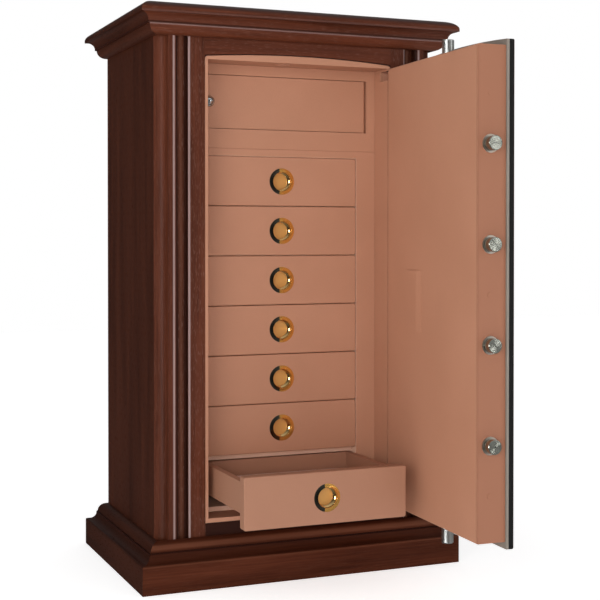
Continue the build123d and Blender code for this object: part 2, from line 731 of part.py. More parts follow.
def make_drawer_runners():
    """A runner under and a kicker over each side of each drawer box, from the cross rails back."""
    y0 = DRAWER_FACE_Y + DRAWER_FRONT_T + CASE_RAIL_SET_BACK + CASE_RAIL_T
    y1 = ROOM_BACK - BOX_BACK_GAP
    with BuildPart() as drawer_runners:
        for row in range(DRAWER_COUNT):
            box_z = drawer_bottom(row) + BOX_LIFT
            strips = (
                (box_z - RUNNER_PLAY - RUNNER_T, box_z - RUNNER_PLAY),
                (box_z + BOX_H + RUNNER_PLAY, box_z + BOX_H + RUNNER_PLAY + KICKER_T),
            )
            for z0, z1 in strips:
                slab(BAY_LEFT, BAY_LEFT + RUNNER_W, y0, y1, z0, z1)
                slab(BAY_RIGHT - RUNNER_W, BAY_RIGHT, y0, y1, z0, z1)
    save(drawer_runners, "drawer_runners")


def drawer_shift(row):
    """The lowest drawer stands open; the others are closed."""
    return DRAWER_OUT if row == 0 else 0.0


def make_drawer(row):
    """Leather-covered front slab with a round recess, and the box behind it."""
    number = DRAWER_COUNT - row
    y0 = DRAWER_FACE_Y - drawer_shift(row)
    y1 = y0 + DRAWER_FRONT_T
    z0 = drawer_bottom(row)
    box_back = BOX_BACK_Y - drawer_shift(row)
    box_z = z0 + BOX_LIFT
    half = BOX_W / 2
    with BuildPart() as drawer:
        with BuildSketch(Plane.XZ.offset(-y1)):
            with Locations((DRAWER_X, z0 + DRAWER_H / 2)):
                RectangleRounded(DRAWER_W, DRAWER_H, DRAWER_CORNER_R)
        extrude(amount=DRAWER_FRONT_T)
        fillet(drawer.faces().sort_by(Axis.Y)[0].edges(), DRAWER_EDGE_R)
        slab(DRAWER_X - half, DRAWER_X + half, y1, box_back, box_z, box_z + BOX_H)
        slab(
            DRAWER_X - half + BOX_WALL,
            DRAWER_X + half - BOX_WALL,
            y1,
            box_back - BOX_WALL,
            box_z + BOX_FLOOR_T,
            box_z + BOX_H,
            mode=Mode.SUBTRACT,
        )
        recess = Plane(origin=(DRAWER_X, y0, z0 + DRAWER_H / 2), z_dir=(0, 1, 0))
        disc(recess, PULL_MOUTH_R + PULL_WALL + PULL_PLAY, PULL_DEPTH + PULL_WALL + PULL_PLAY, Mode.SUBTRACT)
    save(drawer, f"drawer_{number}")


def make_cup_pull(row):
    """Turned brass cup let into the drawer front; its rim slopes back to a thin outer edge."""
    number = DRAWER_COUNT - row
    y0 = DRAWER_FACE_Y - drawer_shift(row)
    origin = (DRAWER_X, y0, drawer_bottom(row) + DRAWER_H / 2)
    outer = PULL_MOUTH_R + PULL_WALL
    lip = PULL_MOUTH_R + PULL_LIP_R
    axis_plane = Plane(origin=origin, x_dir=(1, 0, 0), z_dir=(0, 0, 1))
    with BuildPart() as cup_pull:
        with BuildSketch(axis_plane):
            with BuildLine():
                Line((0, PULL_DEPTH), (PULL_BOTTOM_R, PULL_DEPTH))
                RadiusArc((PULL_BOTTOM_R, PULL_DEPTH), (PULL_MOUTH_R, 0), PULL_DEPTH)
                Line((PULL_MOUTH_R, 0), (PULL_MOUTH_R, -PULL_PROUD + PULL_LIP_R))
                RadiusArc((PULL_MOUTH_R, -PULL_PROUD + PULL_LIP_R), (lip, -PULL_PROUD), PULL_LIP_R)
                RadiusArc((lip, -PULL_PROUD), (PULL_R, -PULL_EDGE_T), PULL_RIM_R)
                Line((PULL_R, -PULL_EDGE_T), (PULL_R, 0))
                Line((PULL_R, 0), (outer, 0))
                Line((outer, 0), (outer, PULL_DEPTH + PULL_WALL))
                Line((outer, PULL_DEPTH + PULL_WALL), (0, PULL_DEPTH + PULL_WALL))
                Line((0, PULL_DEPTH + PULL_WALL), (0, PULL_DEPTH))
            make_face()
        revolve(axis=Axis(origin, (0, 1, 0)))
    save(cup_pull, f"cup_pull_{number}")


def make_drawer_pad(row):
    """Soft pad on the floor of the drawer box."""
    number = DRAWER_COUNT - row
    y0 = DRAWER_FACE_Y - drawer_shift(row) + DRAWER_FRONT_T
    y1 = BOX_BACK_Y - drawer_shift(row) - BOX_WALL
    half = BOX_W / 2 - BOX_WALL - PAD_PLAY
    floor = drawer_bottom(row) + BOX_LIFT + BOX_FLOOR_T
    with BuildPart() as drawer_pad:
        slab(DRAWER_X - half, DRAWER_X + half, y0 + PAD_PLAY, y1 - PAD_PLAY, floor, floor + PAD_T)
        fillet(drawer_pad.edges().group_by(Axis.Z)[-1], 5.0)
    save(drawer_pad, f"drawer_pad_{number}")


# Small compartment


def make_compartment_frame():
    """Frame round the flap, with holes for its two pivot pins."""
    with BuildPart() as compartment_frame:
        slab(
            -ROOM_X + LINING_PLAY,
            ROOM_X - LINING_PLAY,
            DRAWER_FACE_Y,
            DRAWER_FACE_Y + COMPARTMENT_FRAME_T,
            SHELF_TOP,
            ROOM_TOP - LINING_PLAY,
        )
        slab(
            FLAP_X0,
            FLAP_X1,
            DRAWER_FACE_Y,
            DRAWER_FACE_Y + COMPARTMENT_FRAME_T,
            FLAP_Z0,
            FLAP_Z1,
            mode=Mode.SUBTRACT,
        )
        for z0 in (FLAP_Z0 - FLAP_PIN_L, FLAP_Z1):
            pin_plane = Plane(origin=(FLAP_PIVOT_X, FLAP_PIVOT_Y, z0))
            disc(pin_plane, FLAP_PIN_R + RUNNING_FIT, FLAP_PIN_L, Mode.SUBTRACT)
    save(compartment_frame, "compartment_frame")


def make_compartment_flap():
    """Flap with a half-round hinge edge, its pivot pins and the bore of the small lock."""
    y0 = DRAWER_FACE_Y + FLAP_SET_BACK
    y1 = y0 + FLAP_T
    z0 = FLAP_Z0 + FLAP_GAP
    z1 = FLAP_Z1 - FLAP_GAP
    with BuildPart() as compartment_flap:
        slab(FLAP_X0 + FLAP_GAP, FLAP_PIVOT_X, y0, y1, z0, z1)
        disc(Plane(origin=(FLAP_PIVOT_X, FLAP_PIVOT_Y, z0)), FLAP_T / 2, z1 - z0)
        disc(Plane(origin=(FLAP_PIVOT_X, FLAP_PIVOT_Y, z0 - FLAP_PIN_L)), FLAP_PIN_R, FLAP_PIN_L)
        disc(Plane(origin=(FLAP_PIVOT_X, FLAP_PIVOT_Y, z1)), FLAP_PIN_R, FLAP_PIN_L)
        bore = Plane(origin=(SMALL_LOCK_X, y0, SMALL_LOCK_Z), z_dir=(0, 1, 0))
        disc(bore, SMALL_LOCK_BODY_R + RUNNING_FIT, FLAP_T, Mode.SUBTRACT)
    save(compartment_flap, "compartment_flap")


def make_compartment_lock():
    """Chrome barrel with a slotted round head."""
    face = DRAWER_FACE_Y + FLAP_SET_BACK
    head = Plane(origin=(SMALL_LOCK_X, face - SMALL_LOCK_PROUD, SMALL_LOCK_Z), z_dir=(0, 1, 0))
    body = Plane(origin=(SMALL_LOCK_X, face, SMALL_LOCK_Z), z_dir=(0, 1, 0))
    with BuildPart() as compartment_lock:
        disc(head, SMALL_LOCK_R, SMALL_LOCK_PROUD)
        fillet(compartment_lock.faces().sort_by(Axis.Y)[0].edges(), SMALL_LOCK_PROUD / 2)
        disc(body, SMALL_LOCK_BODY_R, SMALL_LOCK_IN)
        with BuildSketch(head):
            Rectangle(SMALL_LOCK_SLOT_W, SMALL_LOCK_BODY_R)
        extrude(amount=SMALL_LOCK_PROUD / 2, mode=Mode.SUBTRACT)
    save(compartment_lock, "compartment_lock")


def make_compartment_cam():
    """Tongue behind the small lock; it hangs down when the flap is unlocked."""
    y0 = DRAWER_FACE_Y + FLAP_SET_BACK + SMALL_LOCK_IN
    with BuildPart() as compartment_cam:
        with BuildSketch(Plane.XZ.offset(-y0 - SMALL_CAM_T)):
            with Locations((SMALL_LOCK_X, SMALL_LOCK_Z)):
                Circle(SMALL_CAM_W / 2)
            with Locations((SMALL_LOCK_X, SMALL_LOCK_Z - SMALL_CAM_L / 2)):
                Rectangle(SMALL_CAM_W, SMALL_CAM_L)
        extrude(amount=SMALL_CAM_T)
    save(compartment_cam, "compartment_cam")


# Door


def make_door_box():
    """Leather-covered steel pan, open towards the plate, with holes for bolts and arms."""
    with BuildPart() as door_box:
        slab(BOX_X0, BOX_X1, FRAME_Y, BOX_INNER_Y, BOX_Z0, BOX_Z1, DOOR)
        inner = door_box.faces().sort_by(INWARD)[-1]
        fillet(inner.edges(), DOOR_EDGE_R)
        slab(
            BOX_X0 + DOOR_WALL,
            BOX_X1 - DOOR_WALL,
            FRAME_Y,
            BOX_INNER_Y - DOOR_WALL,
            BOX_Z0 + DOOR_WALL,
            BOX_Z1 - DOOR_WALL,
            DOOR,
            Mode.SUBTRACT,
        )
        guide_r = SIDE_BOLT_R + RUNNING_FIT + GUIDE_WALL
        for bolt_z in SIDE_BOLT_Z:
            hole = door_facing((BOX_X0, BOLT_Y, bolt_z), (1, 0, 0), (0, 1, 0))
            disc(hole, guide_r, DOOR_WALL, Mode.SUBTRACT)
        end_guide_r = END_BOLT_R + RUNNING_FIT + GUIDE_WALL
        for z0 in (BOX_Z0, BOX_Z1 - DOOR_WALL):
            hole = door_facing((END_BOLT_X, BOLT_Y, z0), (0, 0, 1), (1, 0, 0))
            disc(hole, end_guide_r, DOOR_WALL, Mode.SUBTRACT)
        for arm_z in ARM_Z:
            slab(
                BOX_X1 - DOOR_WALL,
                BOX_X1,
                PIVOT_Y - ARM_W / 2,
                PIVOT_Y + ARM_W / 2,
                arm_z,
                arm_z + ARM_H,
                DOOR,
                Mode.SUBTRACT,
            )
    save(door_box, "door_box")


def door_sheet(y_front, thickness):
    """One sheet of the door, with the same arch as the opening."""
    plane = door_facing((0, y_front, 0), (0, -1, 0), (1, 0, 0))
    middle = (PLATE_X0 + PLATE_X1) / 2
    apex = PLATE_Z1 + ARCH_RISE
    with BuildSketch(plane) as outline:
        with BuildLine():
            Line((PLATE_X1, PLATE_Z0), (PLATE_X0, PLATE_Z0))
            Line((PLATE_X0, PLATE_Z0), (PLATE_X0, PLATE_Z1))
            ThreePointArc((PLATE_X0, PLATE_Z1), (middle, apex), (PLATE_X1, PLATE_Z1))
            Line((PLATE_X1, PLATE_Z1), (PLATE_X1, PLATE_Z0))
        make_face()
    extrude(outline.sketch, amount=thickness)


def door_hole(x, z, radius, y_from, length):
    """Round hole through the door's sheets, square to them."""
    disc(door_facing((x, y_from, z), (0, -1, 0), (1, 0, 0)), radius, length, Mode.SUBTRACT)


def make_door_plate():
    """Grey steel plate whose rim shows behind the leather-covered box."""
    with BuildPart() as door_plate:
        door_sheet(FRAME_Y, PLATE_T)
        door_hole(HANDLE_X, HANDLE_Z, SPINDLE_R + RUNNING_FIT, FRAME_Y, PLATE_T)
        door_hole(KEY_X, KEY_Z, KEY_R + RUNNING_FIT, FRAME_Y, PLATE_T)
    save(door_plate, "door_plate")


def make_door_panel():
    """Outer panel with rounded edges."""
    with BuildPart() as door_panel:
        door_sheet(PLATE_Y, PANEL_T)
        outer = door_panel.faces().sort_by(INWARD)[0]
        fillet(outer.edges(), PANEL_EDGE_R)
        door_hole(HANDLE_X, HANDLE_Z, SPINDLE_R + RUNNING_FIT, PLATE_Y, PANEL_T)
        door_hole(KEY_X, KEY_Z, KEY_R + RUNNING_FIT, PLATE_Y, PANEL_T)
    save(door_panel, "door_panel")


def make_hinge_arms():
    """Bars from inside the box to the pins in the door frame."""
    with BuildPart() as hinge_arms:
        for arm_z in ARM_Z:
            slab(
                BOX_X1 - ARM_IN,
                PIVOT_X,
                PIVOT_Y - ARM_W / 2,
                PIVOT_Y + ARM_W / 2,
                arm_z,
                arm_z + ARM_H,
                DOOR,
            )
            end = Plane(origin=(PIVOT_X, PIVOT_Y, arm_z))
            disc(end, ARM_BOSS_R, ARM_H)
            disc(end, PIN_R + RUNNING_FIT, ARM_H, Mode.SUBTRACT)
    save(hinge_arms, "hinge_arms")


def bolt_guide(point, direction, across, bolt_r):
    """Flanged sleeve that a bolt slides in, its flange proud of the box wall."""
    bore = bolt_r + RUNNING_FIT
    sleeve = bore + GUIDE_WALL
    start = Vector(*point)
    inward = Vector(*direction)
    flange_at = start - inward * GUIDE_FLANGE
    disc(door_facing(tuple(start), direction, across), sleeve, DOOR_WALL + GUIDE_IN)
    disc(door_facing(tuple(flange_at), direction, across), sleeve + GUIDE_RIM, GUIDE_FLANGE)
    length = GUIDE_FLANGE + DOOR_WALL + GUIDE_IN
    disc(door_facing(tuple(flange_at), direction, across), bore, length, Mode.SUBTRACT)


def make_bolt_guides():
    with BuildPart() as bolt_guides:
        for bolt_z in SIDE_BOLT_Z:
            bolt_guide((BOX_X0, BOLT_Y, bolt_z), (1, 0, 0), (0, 1, 0), SIDE_BOLT_R)
        bolt_guide((END_BOLT_X, BOLT_Y, BOX_Z0), (0, 0, 1), (1, 0, 0), END_BOLT_R)
        bolt_guide((END_BOLT_X, BOLT_Y, BOX_Z1), (0, 0, -1), (1, 0, 0), END_BOLT_R)
    save(bolt_guides, "bolt_guides")


def make_door_plugs():
    """Small caps on the free side of the box."""
    with BuildPart() as door_plugs:
        for plug_z in PLUG_Z:
            disc(door_facing((BOX_X0, BOLT_Y, plug_z), (-1, 0, 0), (0, 1, 0)), PLUG_R, PLUG_PROUD)
    save(door_plugs, "door_plugs")


def make_side_bolts():
    """Four bolts on one upright bar, thrown out of the free side."""
    tip_x = BOX_X0 - SIDE_BOLT_THROW
    tail_x = BOX_X0 + SIDE_BOLT_IN
    with BuildPart() as side_bolts:
        for bolt_z in SIDE_BOLT_Z:
            tip = door_facing((tip_x, BOLT_Y, bolt_z), (1, 0, 0), (0, 1, 0))
            with BuildSketch(tip):
                Circle(SIDE_BOLT_R - BOLT_CHAMFER)
            with BuildSketch(tip.offset(BOLT_CHAMFER)):
                Circle(SIDE_BOLT_R)
            loft()
            disc(tip.offset(BOLT_CHAMFER), SIDE_BOLT_R, tail_x - tip_x - BOLT_CHAMFER)
        slab(
            tail_x,
            tail_x + BOLT_BAR_W,
            BOLT_Y - BOLT_BAR_T / 2,
            BOLT_Y + BOLT_BAR_T / 2,
            SIDE_BOLT_Z[0] - SIDE_BOLT_R,
            SIDE_BOLT_Z[-1] + SIDE_BOLT_R,
            DOOR,
        )
    save(side_bolts, "side_bolts")


def make_end_bolt(name, box_z, up, throw):
    """Bolt out of the top (up = 1) or bottom (up = -1) of the box, with its rod towards the handle."""
    tip_z = box_z + up * throw
    tail_z = box_z - up * END_BOLT_IN
    rod_end = HANDLE_Z + up * END_ROD_GAP
    tip = door_facing((END_BOLT_X, BOLT_Y, tip_z), (0, 0, -up), (1, 0, 0))
    with BuildPart() as end_bolt:
        with BuildSketch(tip):
            Circle(END_BOLT_R - BOLT_CHAMFER)
        with BuildSketch(tip.offset(BOLT_CHAMFER)):
            Circle(END_BOLT_R)
        loft()
        disc(tip.offset(BOLT_CHAMFER), END_BOLT_R, abs(tip_z - tail_z) - BOLT_CHAMFER)
        disc(tip.offset(abs(tip_z - tail_z)), END_ROD_R, abs(tail_z - rod_end))
    save(end_bolt, name)


# Handle and lock


def make_door_handle():
    """Round rose, neck and a lever that hangs down while the bolts are thrown."""
    rose = door_facing((HANDLE_X, PANEL_Y, HANDLE_Z), (0, -1, 0), (1, 0, 0))
    elbow = (HANDLE_X, PANEL_Y - HANDLE_REACH + HANDLE_LEVER_R, HANDLE_Z)
    lever_start = door_facing(elbow, (0, 0, -1), (1, 0, 0))
    with BuildPart() as door_handle:
        disc(rose, HANDLE_ROSE_R, HANDLE_ROSE_T)
        fillet(door_handle.edges().sort_by(INWARD)[0], HANDLE_ROSE_T / 2)
        disc(rose, HANDLE_NECK_R, HANDLE_REACH - HANDLE_LEVER_R)
        disc(lever_start, HANDLE_LEVER_R, HANDLE_LEVER_L)
        with Locations(lever_start, lever_start.offset(HANDLE_LEVER_L)):
            Sphere(HANDLE_LEVER_R)
    save(door_handle, "door_handle")


def make_handle_spindle():
    """Square-ended shaft through the door with the disc that drives the bolts."""
    start = door_facing((HANDLE_X, PANEL_Y, HANDLE_Z), (0, 1, 0), (1, 0, 0))
    through = PANEL_T + PLATE_T
    with BuildPart() as handle_spindle:
        disc(start, SPINDLE_R, through + SPINDLE_DISC_GAP + SPINDLE_DISC_T)
        disc(start.offset(through + SPINDLE_DISC_GAP), SPINDLE_DISC_R, SPINDLE_DISC_T)
    save(handle_spindle, "handle_spindle")


def make_key_plate():
    with BuildPart() as key_plate:
        face = door_facing((KEY_X, PANEL_Y, KEY_Z), (0, -1, 0), (1, 0, 0))
        disc(face, KEY_PLATE_R, KEY_PLATE_T)
        fillet(key_plate.edges().sort_by(INWARD)[0], KEY_PLATE_T / 2)
        disc(face, KEY_R + RUNNING_FIT, KEY_PLATE_T, Mode.SUBTRACT)
    save(key_plate, "key_plate")


def make_key_cylinder():
    """Turning barrel with a key slot, from outside the panel into the lock case."""
    start = door_facing((KEY_X, PANEL_Y - KEY_PROUD, KEY_Z), (0, 1, 0), (1, 0, 0))
    with BuildPart() as key_cylinder:
        disc(start, KEY_R, KEY_PROUD + PANEL_T + PLATE_T)
        with BuildSketch(start):
            Rectangle(KEY_SLOT_W, KEY_SLOT_L)
        extrude(amount=KEY_PROUD, mode=Mode.SUBTRACT)
    save(key_cylinder, "key_cylinder")


def make_lock_case():
    """Lock inside the door, against the back of the steel plate."""
    half_w = LOCK_CASE_W / 2
    half_h = LOCK_CASE_H / 2
    with BuildPart() as lock_case:
        slab(
            KEY_X - half_w,
            KEY_X + half_w,
            FRAME_Y,
            FRAME_Y + LOCK_CASE_T,
            KEY_Z - half_h,
            KEY_Z + half_h,
            DOOR,
        )
    save(lock_case, "lock_case")


def make_lock_cover():
    """Raised rectangular cover on the inner face of the door, bevelled towards the free side."""
    cover_x = KEY_X - LOCK_COVER_SHIFT
    free_x = cover_x - LOCK_COVER_W / 2
    outer_y = BOX_INNER_Y + LOCK_COVER_T
    with BuildPart() as lock_cover:
        with BuildSketch(door_facing((cover_x, BOX_INNER_Y, KEY_Z), (0, 1, 0), (1, 0, 0))):
            RectangleRounded(LOCK_COVER_W, LOCK_COVER_H, LOCK_COVER_CORNER_R)
        extrude(amount=LOCK_COVER_T)
        with BuildSketch(door_facing((0, 0, KEY_Z - LOCK_COVER_H / 2), (0, 0, 1), (1, 0, 0))):
            with BuildLine():
                Polyline(
                    (free_x, BOX_INNER_Y + LOCK_COVER_EDGE_T),
                    (free_x + LOCK_COVER_BEVEL_W, outer_y),
                    (free_x, outer_y),
                    close=True,
                )
            make_face()
        extrude(amount=LOCK_COVER_H, mode=Mode.SUBTRACT)
    save(lock_cover, "lock_cover")


make_mouldings("plinth_front_and_back", plinth_outline, ("front", "back"))
make_mouldings("plinth_sides", plinth_outline, ("left", "right"))
make_mouldings("cornice_front_and_back", cornice_outline, ("front", "back"))
make_mouldings("cornice_sides", cornice_outline, ("left", "right"))
make_base_board()
make_top_board()
make_side_panels()
make_back_panel()
make_corner_posts()
make_frame_stiles()
make_frame_rails()
make_safe_shell()
make_barrier_fill()
make_steel_liner()
make_door_frame()
make_levelling_feet()
make_hinge_pins()
make_lining()
make_drawer_case()
make_drawer_runners()
for row_index in range(DRAWER_COUNT):
    make_drawer(row_index)
    make_cup_pull(row_index)
    make_drawer_pad(row_index)
make_compartment_frame()
make_compartment_flap()
make_compartment_lock()
make_compartment_cam()
make_door_box()
make_door_plate()
make_door_panel()
make_hinge_arms()
make_bolt_guides()
make_door_plugs()
make_side_bolts()
make_end_bolt("top_bolt", BOX_Z1, 1, TOP_BOLT_THROW)
make_end_bolt("bottom_bolt", BOX_Z0, -1, BOTTOM_BOLT_THROW)
make_door_handle()
make_handle_spindle()
make_key_plate()
make_key_cylinder()
make_lock_case()
make_lock_cover()
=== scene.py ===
# %% [markdown]
# # A jewelry safe in a stained wooden cabinet
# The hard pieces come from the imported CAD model, which is loaded as a fixed frame. This script adds
# what the eye judges: stained wood with open pores, fine leather, brass, turned steel, the soft pads
# in the drawers, a pale studio and a camera that stands where the photographer stood.

import json
import math

import bpy
import numpy as np
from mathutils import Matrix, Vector


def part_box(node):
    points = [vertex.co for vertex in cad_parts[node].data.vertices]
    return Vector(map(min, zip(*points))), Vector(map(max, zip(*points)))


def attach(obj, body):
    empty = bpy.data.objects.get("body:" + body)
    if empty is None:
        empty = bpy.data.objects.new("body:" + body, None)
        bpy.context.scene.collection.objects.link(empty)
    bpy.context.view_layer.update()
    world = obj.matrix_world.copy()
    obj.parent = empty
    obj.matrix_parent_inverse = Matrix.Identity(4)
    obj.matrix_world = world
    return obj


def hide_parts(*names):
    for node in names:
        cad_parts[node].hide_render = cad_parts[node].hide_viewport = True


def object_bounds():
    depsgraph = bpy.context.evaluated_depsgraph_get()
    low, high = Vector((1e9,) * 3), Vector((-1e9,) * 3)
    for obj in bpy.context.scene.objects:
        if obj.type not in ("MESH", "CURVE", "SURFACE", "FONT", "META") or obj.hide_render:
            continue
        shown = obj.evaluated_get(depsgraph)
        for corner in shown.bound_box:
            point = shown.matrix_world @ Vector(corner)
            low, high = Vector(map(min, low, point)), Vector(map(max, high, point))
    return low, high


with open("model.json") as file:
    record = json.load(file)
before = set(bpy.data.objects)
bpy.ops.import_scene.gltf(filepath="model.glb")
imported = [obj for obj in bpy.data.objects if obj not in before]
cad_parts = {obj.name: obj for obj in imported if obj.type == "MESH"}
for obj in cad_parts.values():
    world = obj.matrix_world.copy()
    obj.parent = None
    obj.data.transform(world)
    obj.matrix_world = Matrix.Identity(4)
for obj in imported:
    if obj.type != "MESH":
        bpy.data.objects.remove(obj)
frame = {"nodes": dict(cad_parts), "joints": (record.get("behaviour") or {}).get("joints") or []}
cad_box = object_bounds()
nodes = frame["nodes"]
scene = bpy.context.scene
print("nodes", len(nodes), "box", [[round(v, 3) for v in corner] for corner in cad_box])

# %% [markdown]
# ## The camera
# A camera could be placed by eye and nudged until it looks right. It is surer to fit it to the photograph
# by its vanishing points: upright edges give the tilt, the plinth and the cornice give the turn. Here the
# horizon lies above the middle of the picture while upright edges stay upright, which means an almost
# level camera with its frame shifted down, as on a view camera. A shift keeps the uprights parallel,
# where a tilt would make them lean.

# %% Camera
CAMERA_PLACE = (-0.9294, -2.4049, 0.6364)
CAMERA_TURN_DEG = 22.612
CAMERA_DIP_DEG = 0.793
CAMERA_LENS_MM = 77.46
CAMERA_SENSOR_MM = 36.0
CAMERA_SHIFT_Y = -0.0797

camera = bpy.data.objects.new("camera", bpy.data.cameras.new("camera"))
camera.data.sensor_width = CAMERA_SENSOR_MM
camera.data.lens = CAMERA_LENS_MM
camera.data.shift_y = CAMERA_SHIFT_Y
camera.location = CAMERA_PLACE
camera.rotation_euler = (math.radians(90.0 - CAMERA_DIP_DEG), 0.0, math.radians(-CAMERA_TURN_DEG))
scene.collection.objects.link(camera)
scene.camera = camera
print("camera", CAMERA_PLACE, "lens", CAMERA_LENS_MM)

# %% [markdown]
# ## Shader maths as plain expressions
# Nodes could be placed and linked one by one, but a shader is easier to read as a formula than as a tangle
# of nodes. `Wire` wraps one output socket and overloads the arithmetic operators, so `1 - pores * 0.5` adds
# its own Math nodes. `Recipe` holds a node tree and gives every kind of node through a single method.


# %% Wires
class Wire:
    """One output socket with arithmetic; every operation adds a Math node."""

    def __init__(self, recipe, socket):
        self.recipe, self.socket = recipe, socket

    def math(self, operation, other=0.0):
        """Math node on this wire and, where the operation takes one, a second value."""
        return self.recipe.node("ShaderNodeMath", {"operation": operation}, _0=self, _1=other)

    def __neg__(self):
        return self * -1.0

    def __add__(self, other):
        return self.math("ADD", other)

    __radd__ = __add__

    def __mul__(self, other):
        return self.math("MULTIPLY", other)

    __rmul__ = __mul__

    def __sub__(self, other):
        return self.math("SUBTRACT", other)

    def __rsub__(self, other):
        return -self + other

    def ramp(self, low, high, top=1.0):
        """0 up to the low value and top from the high value on, with a smooth step between them."""
        return self.recipe.node(
            "ShaderNodeMapRange",
            {"interpolation_type": "SMOOTHSTEP"},
            "Result",
            Value=self,
            From_Min=low,
            From_Max=high,
            To_Max=top,
        )

    def above(self, edge, softness):
        """0 below the edge and 1 above it, with a smooth step of the given width."""
        return self.ramp(edge - softness / 2, edge + softness / 2)


# %% Recipes
class Recipe:
    """A node tree that is written as expressions."""

    def __init__(self, tree):
        self.tree = tree

    def feed(self, slot, value):
        """Links a wire to a socket, or sets the socket's value; a colour gets its alpha of 1."""
        if isinstance(value, Wire):
            self.tree.links.new(value.socket, slot)
        elif slot.type == "RGBA":
            slot.default_value = (*value, 1.0)
        else:
            slot.default_value = value

    def node(self, kind, settings=None, output=0, **sockets):
        """Any node: its settings first, then its sockets by name, or by number as in _1."""
        made = self.tree.nodes.new(kind)
        for key, value in (settings or {}).items():
            setattr(made, key, value)
        for key, value in sockets.items():
            number = key[1:]
            slot = made.inputs[int(number)] if number.isdigit() else made.inputs[key.replace("_", " ")]
            self.feed(slot, value)
        return Wire(self, made.outputs[output])

    def place(self, scale=(1.0, 1.0, 1.0), offset=(0.0, 0.0, 0.0)):
        """Object coordinates, stretched and moved."""
        here = self.node("ShaderNodeTexCoord", output="Object")
        return self.node("ShaderNodeMapping", Vector=here, Scale=scale, Location=offset)

    def dot(self, vector, direction):
        """Length of a vector along a direction."""
        return self.node(
            "ShaderNodeVectorMath", {"operation": "DOT_PRODUCT"}, "Value", _0=vector, _1=direction
        )

    def along(self, direction):
        """Distance of the shaded point along a direction, in metres."""
        return self.dot(self.place(), direction)

    def noise(self, where, scale, detail=3.0, roughness=0.5):
        """Noise of so many waves to the metre."""
        return self.node(
            "ShaderNodeTexNoise", None, "Fac", Vector=where, Scale=scale, Detail=detail, Roughness=roughness
        )

    def blend(self, factor, first, second):
        """Mix of two colours."""
        return self.node("ShaderNodeMix", {"data_type": "RGBA"}, 2, Factor=factor, _6=first, _7=second)

    def bump(self, height, depth_m, strength=1.0, **over):
        """Relief of the given depth in metres, over another relief where Normal gives one."""
        return self.node(
            "ShaderNodeBump", None, "Normal", Strength=strength, Distance=depth_m, Height=height, **over
        )


class Finish(Recipe):
    """One material, whose expressions end in its Principled shader."""

    def __init__(self, name):
        self.material = bpy.data.materials.new(name)
        self.material.use_nodes = True
        super().__init__(self.material.node_tree)

    def done(self, **sockets):
        """Feeds the Principled shader and gives the material."""
        shader = self.tree.nodes["Principled BSDF"]
        for key, value in sockets.items():
            self.feed(shader.inputs[key.replace("_", " ")], value)
        return self.material


def toned(colour, tone):
    """A colour made darker or lighter."""
    return tuple(part * tone for part in colour)


ACROSS, INWARD, UPWARD = (1.0, 0.0, 0.0), (0.0, 1.0, 0.0), (0.0, 0.0, 1.0)
# width of the smooth step between two finishes, in metres
SOFT_STEP, SHARP_STEP = 0.0006, 0.0004
print("shader helpers ready")

# %% [markdown]
# ## The studio
# The photographed leather has almost the same brightness on every side, so the light comes from all round.
# Yet nothing milky lies on the lacquer and the brass has dark parts, so polished surfaces see a dark room.
# A photographer gets both with white paper walls and black flags. Real walls and flags could be modelled,
# but they would stand in the way of other views. Here the world itself is bright for diffuse light and dim
# for reflections, with a few bright cards in it, and the broad lamps are hidden from reflections too.

# %% Floor
FLOOR_HALF = 6.0
FLOOR_GLOW = 0.60
PAPER_DARK, PAPER_LIGHT = (0.84, 0.84, 0.84), (0.88, 0.88, 0.88)
WHITE = (1.0, 1.0, 1.0)

floor_corners = [(FLOOR_HALF * x, FLOOR_HALF * y, 0.0) for x, y in ((-1, -1), (1, -1), (1, 1), (-1, 1))]
floor_mesh = bpy.data.meshes.new("floor")
floor_mesh.from_pydata(floor_corners, [], [(0, 1, 2, 3)])
floor = bpy.data.objects.new("floor", floor_mesh)
floor.visible_glossy = False
scene.collection.objects.link(floor)

paper = Finish("floor paper")
paper_fibre = paper.noise(paper.place(), 60.0, 3.0, 0.6)
paper_colour = paper.blend(paper_fibre, PAPER_DARK, PAPER_LIGHT)
floor_mesh.materials.append(
    paper.done(Base_Color=paper_colour, Roughness=0.9, Emission_Color=WHITE, Emission_Strength=FLOOR_GLOW)
)
print("floor", 2 * FLOOR_HALF, "m square")

# %% World
ROOM_WHITE = 1.0
ROOM_FILL = 0.50
ROOM_REFLECTED = 0.045
REFLECTED_CARDS = {
    # name: (direction, cosine where it starts, cosine where it is full, brightness)
    "ceiling": ((0.0, 0.0, 1.0), 0.10, 0.95, 0.40),
    "right wall": ((1.0, 0.0, 0.0), -0.45, 0.55, 0.15),
    "card right of the camera": ((0.42, -0.90, -0.06), 0.95, 0.99, 0.34),
    "white floor": ((0.0, 0.0, -1.0), 0.15, 0.80, 0.12),
    "lamp left of the camera": ((-0.88, -0.47, 0.02), 0.975, 0.992, 13.0),
}

world = bpy.data.worlds.new("studio")
world.use_nodes = True
room = Recipe(world.node_tree)
look = room.node("ShaderNodeTexCoord", output="Generated")
glow = ROOM_REFLECTED
for direction, starts, full, brightness in REFLECTED_CARDS.values():
    glow = room.dot(look, direction).ramp(starts, full, brightness) + glow
seen = room.node("ShaderNodeBackground", Color=WHITE, Strength=ROOM_WHITE)
fill = room.node("ShaderNodeBackground", Color=WHITE, Strength=ROOM_FILL)
mirrored = room.node("ShaderNodeBackground", Color=WHITE, Strength=glow)
glossy_ray = room.node("ShaderNodeLightPath", output="Is Glossy Ray")
camera_ray = room.node("ShaderNodeLightPath", output="Is Camera Ray")
unseen = room.node("ShaderNodeMixShader", _0=glossy_ray, _1=fill, _2=mirrored)
whole = room.node("ShaderNodeMixShader", _0=camera_ray, _1=unseen, _2=seen)
room.feed(world.node_tree.nodes["World Output"].inputs["Surface"], whole)
